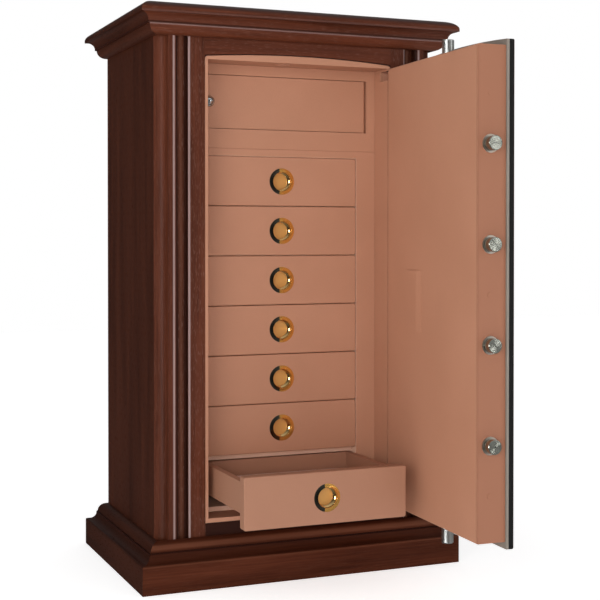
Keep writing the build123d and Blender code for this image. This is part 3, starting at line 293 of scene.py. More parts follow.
scene.world = world
scene.view_settings.view_transform = "Standard"
print("room", ROOM_WHITE, ROOM_FILL, ROOM_REFLECTED, "cards", len(REFLECTED_CARDS))

# %% Lights
SOFT_LIGHTS = {
    # name: (place, aimed at, width, height, watts, seen in reflections)
    "front": ((-0.9, -6.0, 1.5), (0.0, -0.1, 0.55), 3.0, 3.0, 14.0, False),
    "beside the camera": ((-0.95, -2.5, 0.66), (0.0, -0.1, 0.55), 0.3, 0.3, 10.0, False),
    "front left": ((-4.1, -4.3, 1.0), (0.1, -0.2, 0.55), 3.0, 3.0, 125.0, False),
    "low": ((-0.6, -2.2, 0.12), (0.0, 0.0, 0.9), 1.6, 0.2, 1.5, False),
    "window right": ((1.7, -2.3, 1.0), (0.0, -0.2, 0.55), 0.25, 1.5, 5.0, True),
}


def soft_light(name, place, target, width, height, watts, in_reflections):
    """A rectangular light that looks from its place towards the target."""
    lamp = bpy.data.lights.new(name, "AREA")
    lamp.shape = "RECTANGLE"
    lamp.size, lamp.size_y = width, height
    lamp.energy = watts
    light = bpy.data.objects.new(name, lamp)
    light.location = place
    light.rotation_euler = (Vector(target) - Vector(place)).to_track_quat("-Z", "Y").to_euler()
    light.visible_glossy = in_reflections
    scene.collection.objects.link(light)


for light_name, values in SOFT_LIGHTS.items():
    soft_light(light_name, *values)
print("lights", len(SOFT_LIGHTS))

# %% [markdown]
# ## Stained wood with open pores
# The cabinet is an open-pored wood under dark red stain. A wave texture could draw its grain, but its lines
# come too evenly. Here three things make it: broad streaks along the grain, fine streaks inside them, and
# short pale pores where the lacquer has sunk in. All three are the same noise, only stretched: a noise
# squeezed across the grain and drawn out along it turns into fibre. The grain axis is a parameter, because
# a plinth board runs across and a post runs upright.

# %% Grain
STAIN_DARK = (0.050, 0.0118, 0.0050)
STAIN_MIDDLE = (0.092, 0.0230, 0.0102)
STAIN_LIGHT = (0.135, 0.0360, 0.0165)
PORE_PALE = (0.26, 0.150, 0.115)
# Nearly black, used only for painted shade: in grooves, in hollows and above the arch.
PAINTED_SHADE_BLACK = (0.020, 0.0050, 0.0028)
BROAD_WAVES, FINE_WAVES, PORE_WAVES = 26.0, 300.0, 760.0
PORE_DEPTH = 0.00010
LACQUER_GLOSS, DULL_GLOSS, PLINTH_GLOSS = 0.14, 0.06, 0.04
# Width and softness of the line of painted shade above the arch.
ARCH_LINE, ARCH_LINE_SOFT = 0.0016, 0.0010


def grain_scale(axis, along):
    """Scale with one slow axis: along the grain the pattern changes slowly."""
    return tuple(along if axis == name else 1.0 for name in "xyz")


def stained_wood(name, axis, shift, tone, pore_share, painted_bands=(), gloss=LACQUER_GLOSS, arch=None):
    """Stained wood with its grain along one axis.

    The bands are painted highlight, painted light and painted shade: direction, lower and upper distance
    along it (both sides of the middle), softness, share, and the colour of the band. An arch is the
    height of its crown, its rise and half its span; just above it lies a line of painted shade, nearly black.
    """
    wood = Finish(name)
    offset = (shift, shift * 0.7, shift * 1.3)
    broad = wood.noise(wood.place(grain_scale(axis, 0.07), offset), BROAD_WAVES, 4.0, 0.55)
    fine = wood.noise(wood.place(grain_scale(axis, 0.03), offset), FINE_WAVES, 3.0, 0.6)
    pore = wood.noise(wood.place(grain_scale(axis, 0.10), offset), PORE_WAVES, 1.0, 0.4)
    streak = broad * 0.6 + fine * 0.4
    colour = wood.blend(streak.above(0.43, 0.24), toned(STAIN_DARK, tone), toned(STAIN_MIDDLE, tone))
    colour = wood.blend(streak.above(0.60, 0.24), colour, toned(STAIN_LIGHT, tone))
    pores = pore.above(0.63, 0.08)
    colour = wood.blend(pores * pore_share, colour, toned(PORE_PALE, tone))
    # Each band is painted highlight, painted light or painted shade laid into the colour.
    for direction, low, high, soft, share, tint in painted_bands:
        away = wood.along(direction).math("ABSOLUTE")
        band = away.above(low, soft) * (1.0 - away.above(high, soft))
        colour = wood.blend(band * (broad * share + share * 0.5), colour, tint)
    # A line of painted shade, nearly black, on the wood just above the lining's arch.
    if arch is not None:
        crown, rise, half = arch
        across = wood.along(ACROSS)
        over = wood.along(UPWARD) + across * across * (rise / half**2) - crown
        colour = wood.blend((1.0 - over.above(ARCH_LINE, ARCH_LINE_SOFT)) * 0.9, colour, PAINTED_SHADE_BLACK)
    return wood.done(
        Base_Color=colour,
        Roughness=0.36 + fine * 0.12 + pores * 0.2,
        Normal=wood.bump(fine * 0.5 - pores, PORE_DEPTH, 0.4),
        Specular_IOR_Level=gloss,
    )


print("stains", STAIN_DARK, STAIN_MIDDLE, STAIN_LIGHT)

# %% [markdown]
# ## Painted highlights and painted shade on the mouldings
# The arrises beside the groove catch a thin pale highlight, and the hollows of the mouldings lie in shade.
# Both are painted into the colour: pale painted highlights on arrises and moulding edges, warm painted
# light over the groove floor and on the plinth's edges, and near-black painted shade in the grooves, the
# hollows and on the cornice's upper rounding. Bevels that catch a lamp could show the lines, but only from
# one side. Bands in the colour stay when the view turns. They are placed by the boxes of the imported
# pieces, so they follow the frame.

# %% Painted highlight and shade bands on posts, stiles and mouldings
# Pale painted highlight for lit arrises and edges; warm painted light for the groove floor and the plinth's
# edges.
PAINTED_HIGHLIGHT = (0.36, 0.25, 0.235)
PAINTED_WARM_LIGHT = (0.20, 0.075, 0.042)
GROOVE_WIDTH = 0.020
POST_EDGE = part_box("frame_stiles")[1][0]
FLAT_EDGE = POST_EDGE - GROOVE_WIDTH
TOP = cad_box[1][2]

# Posts: painted highlight on the arris, painted shade where it turns into the groove.
# direction, lower and upper distance, softness, share, colour
post_painted_bands = [
    (ACROSS, POST_EDGE + 0.0058, POST_EDGE + 0.0092, 0.0028, 0.80, PAINTED_HIGHLIGHT),
    (ACROSS, POST_EDGE - 0.0010, POST_EDGE + 0.0040, 0.0022, 0.90, PAINTED_SHADE_BLACK),
]
# Stiles: painted highlight on the frame's edge, painted light on the groove floor, painted shade at the
# groove's edge.
stile_painted_bands = [
    (ACROSS, FLAT_EDGE - 0.0038, FLAT_EDGE - 0.0008, 0.0014, 0.85, PAINTED_HIGHLIGHT),
    (ACROSS, POST_EDGE - 0.0130, POST_EDGE - 0.0070, 0.0050, 0.40, PAINTED_WARM_LIGHT),
    (ACROSS, FLAT_EDGE - 0.0006, FLAT_EDGE + 0.0040, 0.0012, 0.80, PAINTED_SHADE_BLACK),
]
# Cornice: painted shade in the hollow, painted highlights on its edges, painted shade on the upper rounding.
cornice_painted_shade = (UPWARD, TOP - 0.0388, TOP - 0.0355, 0.0012, 0.70, PAINTED_SHADE_BLACK)
cornice_painted_bands = [
    (UPWARD, TOP - 0.0410, TOP - 0.0388, 0.0012, 0.40, PAINTED_HIGHLIGHT),
    cornice_painted_shade,
    (UPWARD, TOP - 0.0222, TOP - 0.0185, 0.0015, 0.08, PAINTED_HIGHLIGHT),
    (UPWARD, TOP - 0.0110, TOP + 0.0100, 0.0080, 0.75, PAINTED_SHADE_BLACK),
]
# Plinth: painted shade in the hollows, warm painted light on the lip's edge and on the round.
plinth_painted_shade = [
    (UPWARD, 0.0520, 0.0690, 0.0060, 0.45, PAINTED_SHADE_BLACK),
    (UPWARD, 0.0670, 0.0705, 0.0010, 0.80, PAINTED_SHADE_BLACK),
]
plinth_painted_bands = [
    (UPWARD, 0.0485, 0.0520, 0.0015, 0.20, PAINTED_WARM_LIGHT),
    *plinth_painted_shade,
    (UPWARD, 0.0740, 0.0820, 0.0040, 0.40, PAINTED_WARM_LIGHT),
]
print("arrises at", round(POST_EDGE, 4), round(FLAT_EDGE, 4))

# %% Woods of the cabinet
# The arch of painted shade follows the top of the lining, a little above it.
ARCH_RISE = 0.0075
ARCH_GAP = 0.0003
lining_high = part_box("lining")[1]
ARCH = (lining_high[2] + ARCH_GAP, ARCH_RISE, lining_high[0])

wood_post = stained_wood("stained wood, posts", "z", 0.0, 0.88, 0.08, post_painted_bands)
wood_frame = stained_wood("stained wood, frame", "z", 0.37, 0.86, 0.26, stile_painted_bands)
wood_header = stained_wood("stained wood, header", "x", 0.21, 0.92, 0.16, arch=ARCH)
# Side panels and the ends of cornice and plinth are darker copies of the front stain: painted shade for the
# sides turned from the light.
wood_side_painted_shade = stained_wood("stained wood, side panels, painted shade", "z", 0.91, 0.50, 0.06, gloss=DULL_GLOSS)
wood_back = stained_wood("stained wood, back panel", "z", 0.15, 0.60, 0.15)
wood_cornice = stained_wood("stained wood, cornice", "x", 0.53, 0.98, 0.12, cornice_painted_bands)
wood_cornice_ends_painted_shade = stained_wood(
    "stained wood, cornice ends, painted shade", "y", 0.59, 0.50, 0.06, [cornice_painted_shade], DULL_GLOSS
)
wood_plinth = stained_wood("stained wood, plinth", "x", 0.77, 0.68, 0.04, plinth_painted_bands, PLINTH_GLOSS)
wood_plinth_ends_painted_shade = stained_wood(
    "stained wood, plinth ends, painted shade", "y", 0.71, 0.40, 0.08, plinth_painted_shade, DULL_GLOSS
)
print("arch over the lining", [round(v, 4) for v in ARCH])

# %% [markdown]
# ## Fine leather
# Door, lining, case and drawers are covered with a thin smooth leather. Close up it has a tight pebble
# grain, and from afar it is almost even with faint clouds. The pebbles could be modelled, but they are
# about a millimetre wide and far too many. Voronoi cells give them in the relief and make the colour a
# little darker between them; slow noise gives the clouds in the colour. Patches of painted shade darken
# the door's free end and its arris, the open lowest drawer is a painted shade darker, and painted light
# makes the rails behind the gaps between the drawers paler.

# %% Leather
LEATHER = (0.418, 0.193, 0.114)
LEATHER_LIGHT = (0.450, 0.211, 0.127)
# Painted shade for the door's free end and, deeper, for its arris.
LEATHER_PAINTED_SHADE = (0.285, 0.112, 0.060)
LEATHER_ARRIS_PAINTED_SHADE = (0.220, 0.085, 0.042)
# Painted light for the rails behind the gaps between the drawers.
LEATHER_PAINTED_LIGHT = (0.800, 0.500, 0.360)
CLOUD_WAVES, PEBBLE_WAVES, CREASE_WAVES = 7.0, 820.0, 240.0
PEBBLE_DEPTH = 0.00010


def fine_leather(name, tone=1.0, patches=()):
    """Fine leather, with patches of painted shade and painted light.

    A patch is a list of bounds, a softness, a share and a colour. A bound is a direction and a distance
    along it; the patch lies beyond all of its bounds.
    """
    hide = Finish(name)
    here = hide.place()
    clouds = hide.noise(here, CLOUD_WAVES, 3.0, 0.5)
    pebbles = hide.node("ShaderNodeTexVoronoi", output="Distance", Vector=here, Scale=PEBBLE_WAVES)
    creases = hide.noise(here, CREASE_WAVES, 2.0, 0.6)
    colour = hide.blend(clouds.above(0.5, 0.5), toned(LEATHER, tone), toned(LEATHER_LIGHT, tone))
    colour = hide.blend(pebbles.above(0.55, 0.5) * 0.10, colour, toned(LEATHER, 0.6))
    for bounds, soft, share, tint in patches:
        inside = share
        for direction, edge in bounds:
            inside = hide.along(direction).above(edge, soft) * inside
        colour = hide.blend(inside, colour, tint)
    relief = hide.bump(creases * 0.6 - pebbles, PEBBLE_DEPTH, 0.35)
    return hide.done(Base_Color=colour, Roughness=0.58 + clouds * 0.08, Normal=relief)


DRAWERS = sum(1 for name in nodes if name.startswith("cup_pull_"))
PAST_THE_SIDE = 0.0012
PAST_THE_TOP = 0.0010
first_drawer_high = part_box("drawer_1")[1]
# Painted light: the rails seen through the gaps between the drawers are made paler.
painted_light_behind_gaps = [
    ((-1.0, 0.0, 0.0), -first_drawer_high[0] - PAST_THE_SIDE),
    ((0.0, 0.0, -1.0), -first_drawer_high[2] - PAST_THE_TOP),
]
leather = fine_leather("fine leather")
# The open lowest drawer is a darker tone of painted shade, since it stands out of the case into more light.
leather_open_painted_shade = fine_leather("fine leather, lowest drawer, painted shade", 0.79)
leather_case_painted_light = fine_leather("fine leather, drawer case, painted light in the gaps", 1.0, [(painted_light_behind_gaps, SHARP_STEP, 0.9, LEATHER_PAINTED_LIGHT)])
print("leather ready for", DRAWERS, "drawers")

# %% [markdown]
# ## Suede for the pads
# Each drawer has a pad of suede. Real suede could be given hair, but in a drawer it is seen small. It has
# no gloss, and its nap lies in patches, which shows as soft light and dark clouds. A little sheen at the
# edges comes from the fibres standing up.

# %% Suede
SUEDE = (0.46, 0.235, 0.155)
PATCH_WAVES, NAP_WAVES = 38.0, 1400.0
NAP_DEPTH = 0.00025


def suede_nap():
    """Matt suede: patches of nap in the colour, fibres in the relief."""
    pile = Finish("suede")
    here = pile.place()
    patches = pile.noise(here, PATCH_WAVES, 4.0, 0.6)
    nap = pile.noise(here, NAP_WAVES, 2.0, 0.7)
    return pile.done(
        Base_Color=pile.blend(patches.above(0.5, 0.35), SUEDE, toned(SUEDE, 1.18)),
        Roughness=0.95,
        Normal=pile.bump(nap + patches * 0.5, NAP_DEPTH, 0.5),
        Sheen_Weight=0.35,
        Sheen_Roughness=0.5,
    )


suede = suede_nap()
print("suede", SUEDE)

# %% [markdown]
# ## Brass pulls
# Each drawer has a turned brass cup let into its front. Its wall is polished, its bottom is matt, and its
# ring is satin, with a dark crescent of painted shade on the left that has square ends. One material for
# each part would cut the cup along its triangles, so one material tells the parts by measure: the bottom
# and the wall by their depth behind the drawer's face, the ring and the crescent by their distance from
# the pull's own axis.

# %% Brass
BRASS = (0.88, 0.60, 0.26)
# Dark brass, painted shade for the crescent on the left of each ring.
BRASS_PAINTED_SHADE = (0.120, 0.108, 0.082)
BRASS_MATT = (0.86, 0.45, 0.14)
BRASS_RING = (0.80, 0.42, 0.10)
PULL_BOTTOM_DEPTH = 0.0122
PULL_WALL_STARTS = 0.0018
PULL_RING_DEPTH = 0.0005
PULL_MOUTH = 0.0176
PULL_COVE_SLOPE = 0.70
CRESCENT_ENDS = -0.0050
SMUDGE_WAVES, GRIT_WAVES = 60.0, 900.0
SAND_DEPTH = 0.00012


def polished_brass(name):
    """Brass with the faint smudges of hands."""
    brass_piece = Finish(name)
    smudge = brass_piece.noise(brass_piece.place(), SMUDGE_WAVES, 3.0, 0.6)
    return brass_piece.done(Base_Color=BRASS, Metallic=1.0, Roughness=0.13 + smudge * 0.1)


def pull_brass(name, pull, face_y):
    """Brass of one pull: polished wall, matt bottom, satin ring and a dark crescent of painted shade.

    The radius is the root of the squared distances from the pull's middle, the depth is measured from the
    drawer's face. The wall is coved: its relief grows with the depth, which turns its normal to the mouth.
    """
    low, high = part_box(pull)
    cup = Finish(name)
    smudge = cup.noise(cup.place(), SMUDGE_WAVES, 3.0, 0.6)
    grit = cup.noise(cup.place(), GRIT_WAVES, 2.0, 0.6)
    side = cup.along(ACROSS) - (low[0] + high[0]) / 2
    height = cup.along(UPWARD) - (low[2] + high[2]) / 2
    radius = (side * side + height * height).math("SQRT")
    depth = cup.along(INWARD) - face_y
    matt = depth.above(PULL_BOTTOM_DEPTH, SOFT_STEP)
    wall = depth.above(PULL_WALL_STARTS, SOFT_STEP) * (1.0 - matt)
    ring = radius.above(PULL_MOUTH, SHARP_STEP) * (1.0 - depth.above(PULL_RING_DEPTH, SHARP_STEP))
    # The crescent on the left of the ring is painted shade.
    crescent = ring * (1.0 - side.above(CRESCENT_ENDS, SOFT_STEP))
    satin = ring - crescent
    colour = cup.blend(matt, BRASS, BRASS_MATT)
    colour = cup.blend(ring, colour, BRASS_RING)
    colour = cup.blend(crescent, colour, BRASS_PAINTED_SHADE)
    cove = cup.bump(wall * depth, PULL_COVE_SLOPE)
    return cup.done(
        Base_Color=colour,
        Metallic=1.0 - matt * 0.45 - satin * 0.15,
        Roughness=0.07 + smudge * 0.05 + matt * 0.32 + satin * 0.15,
        Normal=cup.bump(grit * matt, SAND_DEPTH, 0.5, Normal=cove),
    )


brass = polished_brass("brass")
print("pull depth of the matt bottom", PULL_BOTTOM_DEPTH)

# %% [markdown]
# ## Steel and paint
# The bolts are turned steel, so their ends get rings around each bolt's own axis: a sine of the distance
# from the axis. Four bolts are one piece, and the distance to the nearest axis comes from the height modulo
# the pitch of the bolts. An image of scratches could do the same for one size only. The plate and the
# steel body are sprayed, which leaves a faint orange peel.

# %% Steel and paint
STEEL = (0.58, 0.60, 0.58)
END_STEEL = (0.66, 0.68, 0.66)
BOLT_STEEL = (0.40, 0.41, 0.36)
# Satin chrome for the bolt guides, with a warm tint that is a painted reflection of the leather round them.
CHROME_WARM_PAINTED_REFLECTION = (0.74, 0.66, 0.58)
GREY_PAINT = (0.205, 0.178, 0.150)
DARK_PAINT = (0.035, 0.035, 0.038)
BROWN_ENAMEL = (0.44, 0.205, 0.130)
TURNING_PITCH = 0.0005
RING_DEPTH = 0.0000175
# A dot of painted shade stands for the dimple in the middle of each bolt's end.
DIMPLE_RADIUS = 0.0012
DIMPLE_PAINTED_SHADE = (0.05, 0.05, 0.05)
SCRATCH_WAVES, PEEL_WAVES, DUST_WAVES = 300.0, 420.0, 12.0
SCRATCH_DEPTH = 0.00001
PEEL_DEPTH = 0.00005


def bright_steel(name, colour, roughness):
    """Steel with fine upright scratches."""
    bar = Finish(name)
    scratch = bar.noise(bar.place((1.0, 1.0, 0.15)), SCRATCH_WAVES, 3.0, 0.6)
    relief = bar.bump(scratch, SCRATCH_DEPTH, 0.3)
    return bar.done(Base_Color=colour, Metallic=1.0, Roughness=roughness + scratch * 0.12, Normal=relief)


def painted(name, colour, roughness):
    """Sprayed paint: even colour with a faint orange-peel relief."""
    coat = Finish(name)
    peel = coat.noise(coat.place(), PEEL_WAVES, 2.0, 0.5)
    dust = coat.noise(coat.place(), DUST_WAVES, 3.0, 0.6)
    return coat.done(
        Base_Color=coat.blend(dust.above(0.5, 0.5), colour, toned(colour, 1.15)),
        Roughness=roughness + dust * 0.08,
        Normal=coat.bump(peel, PEEL_DEPTH, 0.4),
    )


def turned_end(name, colour, roughness, across, centre, lowest, pitch):
    """Steel bolts with rings on their ends: a sine of the distance from the nearest bolt's axis; a dot of
    painted shade marks the dimple in the middle.
    """
    bolt = Finish(name)
    side = bolt.along(across) - centre
    height = (bolt.along(UPWARD) - (lowest - pitch / 2)).math("MODULO", pitch) - pitch / 2
    radius = (side * side + height * height).math("SQRT")
    rings = (radius * (2 * math.pi / TURNING_PITCH)).math("SINE")
    # The dimple is painted shade, a dark dot in the colour.
    dimple = 1.0 - radius.above(DIMPLE_RADIUS, SOFT_STEP)
    shade = bolt.blend(dimple * 0.7, colour, DIMPLE_PAINTED_SHADE)
    relief = bolt.bump(rings, RING_DEPTH)
    return bolt.done(Base_Color=shade, Metallic=1.0, Roughness=roughness, Normal=relief)


end_steel = bright_steel("brushed steel", END_STEEL, 0.36)
steel = bright_steel("plain steel", STEEL, 0.20)
chrome = bright_steel("satin chrome", CHROME_WARM_PAINTED_REFLECTION, 0.34)
grey_paint = painted("grey paint", GREY_PAINT, 0.5)
dark_paint = painted("dark paint", DARK_PAINT, 0.5)
brown_enamel = painted("brown enamel", BROWN_ENAMEL, 0.5)
print("rings every", TURNING_PITCH * 1000, "mm")

# %% [markdown]
# ## The small lock
# A round chrome lock sits in the flap of the compartment. A cylinder with a cut slot could be modelled, but
# its face is 20 mm wide. The groove at its edge, the slot of the key, a dark rim and a slight dome are
# measured from the middle of its own box; groove, slot and rim are painted shade in the colour with a
# little relief, and the dome is relief only.

# %% Lock
LOCK_CHROME = (0.72, 0.78, 0.80)
# Painted shade for the lock's groove, the slot of the key and the rim.
LOCK_PAINTED_SHADE = (0.03, 0.035, 0.04)
GROOVE_INNER, GROOVE_OUTER, FACE_EDGE = 0.62, 0.74, 0.93
SLOT_HALF_WIDTH = 0.0007
SLOT_HALF_HEIGHT = 0.0035
FACE_EDGE_SOFT = 0.0008


def lock_face(name, lock):
    """Chrome of the lock: a domed face, with painted shade in a groove round it, in the slot of the key and
    at its rim.
    """
    low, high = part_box(lock)
    radius_m = (high[2] - low[2]) / 2
    face = Finish(name)
    side = face.along(ACROSS) - (low[0] + high[0]) / 2
    height = face.along(UPWARD) - (low[2] + high[2]) / 2
    radius = (side * side + height * height).math("SQRT")
    groove_starts = radius.above(radius_m * GROOVE_INNER, SOFT_STEP)
    groove = groove_starts * (1.0 - radius.above(radius_m * GROOVE_OUTER, SOFT_STEP))
    slot_width = 1.0 - side.math("ABSOLUTE").above(SLOT_HALF_WIDTH, SHARP_STEP)
    slot_height = 1.0 - height.math("ABSOLUTE").above(SLOT_HALF_HEIGHT, SOFT_STEP)
    slot = slot_width * slot_height
    edge = radius.above(radius_m * FACE_EDGE, FACE_EDGE_SOFT)
    # Groove, slot and rim together: the mask of painted shade.
    dark = groove.math("MAXIMUM", slot.math("MAXIMUM", edge))
    relief = face.bump(-(radius * radius) * (1.0 / radius_m**2) - dark * 0.2, radius_m * 0.35)
    colour = face.blend(dark * 0.85, LOCK_CHROME, LOCK_PAINTED_SHADE)
    return face.done(Base_Color=colour, Metallic=1.0, Roughness=0.12, Normal=relief)


lock_chrome = lock_face("lock chrome", "compartment_lock")
print("lock slot", 2 * SLOT_HALF_HEIGHT * 1000, "mm high")

# %% [markdown]
# ## The door
# The door stands open, so its own directions come from the imported frame: the bolts on its free side slide
# along it, and its outer face is square to that. The outer panel is stained wood on its face and nearly
# black on its edges. Two pieces could show that, but it is one board, so one material tells face from
# edge by the distance along the normal. The leather of the door's box gets painted shade at its free end,
# and more along the arris between that end and the inner face.

# %% Directions of the door
joints = {joint["name"]: joint for joint in frame["joints"]}
to_hinge = Vector(joints["side_bolts_slide"]["axis"]).normalized()
outward = to_hinge.cross(Vector(UPWARD)).normalized()
free_end, inner_face = -to_hinge, -outward


def reach(node, direction):
    """Farthest point of a CAD piece along a direction."""
    points = np.empty(len(nodes[node].data.vertices) * 3)
    nodes[node].data.vertices.foreach_get("co", points)
    return float((points.reshape(-1, 3) @ np.array(direction)).max())


print("door normal", [round(v, 4) for v in outward])

# %% Leather and bolts of the door
# Widths of the painted shade at the door's free end and along its arris.
PAINTED_SHADE_AT_END, END_SOFT = 0.0012, 0.0008
PAINTED_SHADE_AT_ARRIS, ARRIS_SOFT = 0.0030, 0.0020
BOLT_RADIUS = 0.0125
BOLT_COUNT = 4

end_at, inner_at = reach("door_box", free_end), reach("door_box", inner_face)
painted_shade_end_bound = (tuple(free_end), end_at - PAINTED_SHADE_AT_END)
painted_shade_arris_bounds = [(tuple(free_end), end_at - PAINTED_SHADE_AT_ARRIS), (tuple(inner_face), inner_at - PAINTED_SHADE_AT_ARRIS)]
# The door's leather gets painted shade at its free end, and more along the arris.
leather_door = fine_leather(
    "fine leather, door",
    1.04,
    [([painted_shade_end_bound], END_SOFT, 0.85, LEATHER_PAINTED_SHADE), (painted_shade_arris_bounds, ARRIS_SOFT, 0.55, LEATHER_ARRIS_PAINTED_SHADE)],
)
bolts_low, bolts_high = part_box("side_bolts")
bolt_pitch = (bolts_high[2] - bolts_low[2] - 2 * BOLT_RADIUS) / (BOLT_COUNT - 1)
bolt_centre = reach("side_bolts", outward) - BOLT_RADIUS
bolt_steel = turned_end(
    "turned steel", BOLT_STEEL, 0.16, tuple(outward), bolt_centre, bolts_low[2] + BOLT_RADIUS, bolt_pitch
)
print("bolts", BOLT_COUNT, "pitch", round(bolt_pitch, 4))

# %% Outer panel
EDGE_BLACK = (0.0065, 0.0062, 0.0058)
PANEL_EDGE_DEPTH = 0.0022
PANEL_BROAD_WAVES, PANEL_FINE_WAVES = 22.0, 260.0
PANEL_SHIFT = (1.7, 0.2, 0.4)


def door_panel_wood(face_at):
    """Stained wood on the panel's face and a black stain on its edges."""
    panel = Finish("door panel")
    broad = panel.noise(panel.place(grain_scale("z", 0.06), PANEL_SHIFT), PANEL_BROAD_WAVES, 4.0, 0.55)
    fine = panel.noise(panel.place(grain_scale("z", 0.03)), PANEL_FINE_WAVES, 3.0, 0.6)
    face = panel.along(tuple(outward)).above(face_at - PANEL_EDGE_DEPTH, SOFT_STEP)
    wood = panel.blend((broad * 0.6 + fine * 0.4).above(0.5, 0.3), STAIN_DARK, STAIN_LIGHT)
    return panel.done(
        Base_Color=panel.blend(face, EDGE_BLACK, wood),
        Roughness=0.62 - face * 0.28 + fine * 0.1,
        Normal=panel.bump(fine, PORE_DEPTH, 0.4),
        Coat_Weight=face * 0.25,
        Coat_Roughness=0.2,
        Specular_IOR_Level=0.3,
    )


panel_face = reach("door_panel", outward)
panel_wood = door_panel_wood(panel_face)
print("panel face at", round(panel_face, 4), "m along the normal")

# %% [markdown]
# ## Plain inner pieces
# Runners and the filling are only seen when something is open, but they are looked at then. The runners
# are waxed pale wood and the filling of the steel body is a rough cast. A flat colour would look like
# plastic beside the leather, so each gets one noise.

# %% Runner wood and filling
RUNNER_DARK, RUNNER_PALE = (0.36, 0.17, 0.10), (0.46, 0.25, 0.16)
CAST_DARK, CAST_PALE = (0.30, 0.29, 0.27), (0.42, 0.41, 0.38)
CAST_DEPTH = 0.001


def waxed_wood():
    """Pale wood with its fibre along the runners."""
    runner = Finish("waxed pale wood")
    fibre = runner.noise(runner.place(grain_scale("y", 0.05)), 180.0, 3.0, 0.6)
    colour = runner.blend(fibre.above(0.5, 0.3), RUNNER_DARK, RUNNER_PALE)
    relief = runner.bump(fibre, PORE_DEPTH, 0.4)
    return runner.done(Base_Color=colour, Roughness=0.5 + fibre * 0.1, Normal=relief)


def rough_cast():
    """Grey cast with coarse grit."""
    cast = Finish("rough cast")
    grit = cast.noise(cast.place(), 300.0, 5.0, 0.7)
    colour = cast.blend(grit.above(0.5, 0.4), CAST_DARK, CAST_PALE)
    return cast.done(Base_Color=colour, Roughness=0.9, Normal=cast.bump(grit, CAST_DEPTH, 0.6))


runner_wood = waxed_wood()
filling = rough_cast()
print("cast depth", CAST_DEPTH)

# %% [markdown]
# ## Dressing the CAD pieces
# Every CAD piece keeps its shape and gets its finish by name. The finishes could be put on one at a time,
# but a dictionary from finish to names is easier to check than sixty assignments. The pulls have a
# finish each, because it is measured from each pull's own middle.

# %% Finishes by name
WEARS = {
    wood_post: ["corner_posts"],
    wood_back: ["back_panel"],
    wood_frame: ["frame_stiles"],
    wood_header: ["frame_rails"],
    wood_side_painted_shade: ["side_panels"],
    wood_cornice: ["cornice_front_and_back", "top_board"],
    wood_cornice_ends_painted_shade: ["cornice_sides"],
    wood_plinth: ["plinth_front_and_back", "base_board"],
    wood_plinth_ends_painted_shade: ["plinth_sides"],
    leather: ["lining", "compartment_frame", "compartment_flap", *[f"drawer_{n}" for n in range(1, DRAWERS)]],
    leather_case_painted_light: ["drawer_case"],
    leather_open_painted_shade: [f"drawer_{DRAWERS}"],
    leather_door: ["door_box", "lock_cover", "door_plugs"],
    steel: ["handle_spindle", "hinge_arms", "hinge_pins", "levelling_feet", "compartment_cam"],
    bolt_steel: ["side_bolts"],
    end_steel: ["top_bolt", "bottom_bolt"],
    chrome: ["bolt_guides"],
    lock_chrome: ["compartment_lock"],
    brass: ["door_handle", "key_plate", "key_cylinder"],
    grey_paint: ["door_plate"],
    dark_paint: ["safe_shell", "steel_liner", "lock_case"],
    brown_enamel: ["door_frame"],
    panel_wood: ["door_panel"],
    runner_wood: ["drawer_runners"],
    filling: ["barrier_fill"],
}


def dress(name, material):
    """Gives a CAD piece its finish."""
    piece = nodes[name]
    if piece.material_slots:
        piece.material_slots[0].material = material
    else:
        piece.data.materials.append(material)


for material, names in WEARS.items():
    for name in names:
        dress(name, material)

for number in range(1, DRAWERS + 1):
    drawer_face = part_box(f"drawer_{number}")[0][1]
    dress(f"cup_pull_{number}", pull_brass(f"pull brass {number}", f"cup_pull_{number}", drawer_face))
print("dressed", sum(len(names) for names in WEARS.values()) + DRAWERS, "pieces")

# %% [markdown]
# ## The drawer pads
# Each drawer holds a soft fitted pad. A cube with rounded edges would do for one pad, but its crown would
# need modelling by hand. Here a pad is one closed surface over a grid: one parameter runs from the
# middle of the underside out to the rim and back to the middle of the top, the other runs round the plan.
# The plan is a superellipse, a rectangle with soft corners. The top is crowned, highest in the middle.

# %% Pads
PAD_STEPS = 40
PAD_TURNS = 192
PAD_CORNER_POWER = 14.0
PAD_CROWN = 0.006
PAD_EDGE = 0.007
PAD_POLE = 0.02


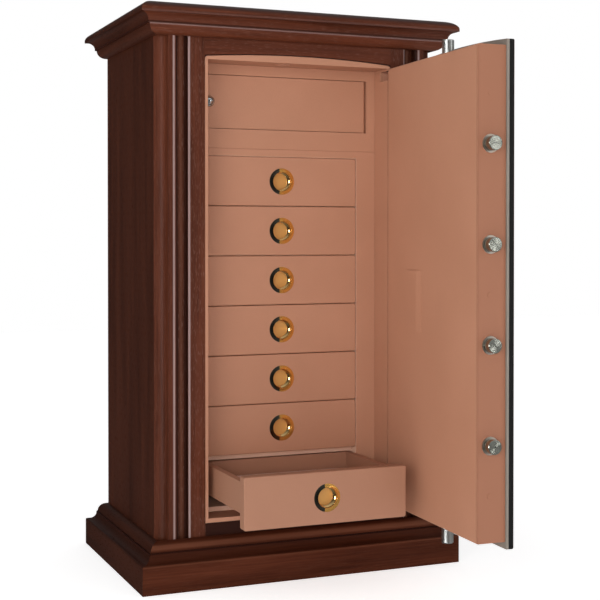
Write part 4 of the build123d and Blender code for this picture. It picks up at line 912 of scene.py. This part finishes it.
def pad_surface(name, low, high):
    """Closed pad between two corners.

    Plan: x and y are the sign and the 2/n power of cosine and sine, a superellipse. Section: a flat
    underside, a half-round rim of the edge radius, and a top that falls from the middle with the fourth
    power of the distance to the rim.
    """
    low, high = np.array(low), np.array(high)
    middle, half = (low + high) / 2, (high - low) / 2
    turn = np.linspace(0.0, 2 * np.pi, PAD_TURNS, endpoint=False)
    power = 2.0 / PAD_CORNER_POWER
    plan_x = np.sign(np.cos(turn)) * np.abs(np.cos(turn)) ** power
    plan_y = np.sign(np.sin(turn)) * np.abs(np.sin(turn)) ** power
    under = np.linspace(PAD_POLE, 1.0, PAD_STEPS // 4)
    bend = np.linspace(-np.pi / 2, np.pi / 2, PAD_STEPS // 2)[1:-1]
    over = np.linspace(1.0, PAD_POLE, PAD_STEPS // 2)
    rim_z = high[2] - low[2] - PAD_CROWN
    spread = np.concatenate([under, np.ones_like(bend), over])
    swell = np.concatenate([np.zeros_like(under), np.cos(bend), np.zeros_like(over)])
    height = np.concatenate(
        [np.zeros_like(under), (np.sin(bend) + 1) / 2 * rim_z, rim_z + PAD_CROWN * (1.0 - over**4)]
    )
    inner = half[:2] - PAD_EDGE
    x = middle[0] + plan_x[None, :] * (inner[0] * spread + PAD_EDGE * swell)[:, None]
    y = middle[1] + plan_y[None, :] * (inner[1] * spread + PAD_EDGE * swell)[:, None]
    z = np.repeat((low[2] + height)[:, None], PAD_TURNS, axis=1)
    rings = np.stack([x, y, z], axis=-1).reshape(-1, 3)
    poles = np.array([[middle[0], middle[1], low[2]], [middle[0], middle[1], high[2]]])
    last_row = (len(spread) - 1) * PAD_TURNS
    row, column = np.meshgrid(np.arange(0, last_row, PAD_TURNS), np.arange(PAD_TURNS), indexing="ij")
    after = (column + 1) % PAD_TURNS
    next_row = row + PAD_TURNS
    quads = np.stack([row + column, row + after, next_row + after, next_row + column], axis=-1).reshape(-1, 4)
    step = np.arange(PAD_TURNS)
    following = (step + 1) % PAD_TURNS
    lower_pole = np.full(PAD_TURNS, len(rings))
    lower_cap = np.stack([lower_pole, following, step], axis=-1)
    upper_cap = np.stack([lower_pole + 1, last_row + step, last_row + following], axis=-1)
    mesh = bpy.data.meshes.new(name)
    faces = quads.tolist() + lower_cap.tolist() + upper_cap.tolist()
    mesh.from_pydata(np.vstack([rings, poles]).tolist(), [], faces)
    mesh.polygons.foreach_set("use_smooth", np.ones(len(mesh.polygons), dtype=bool))
    pad = bpy.data.objects.new(name, mesh)
    scene.collection.objects.link(pad)
    return pad


for number in range(1, DRAWERS + 1):
    node = f"drawer_pad_{number}"
    pad = pad_surface(f"soft_pad_{number}", *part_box(node))
    pad.data.materials.append(suede)
    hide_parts(node)
    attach(pad, f"drawer_{number}_body")
print("pads", DRAWERS)
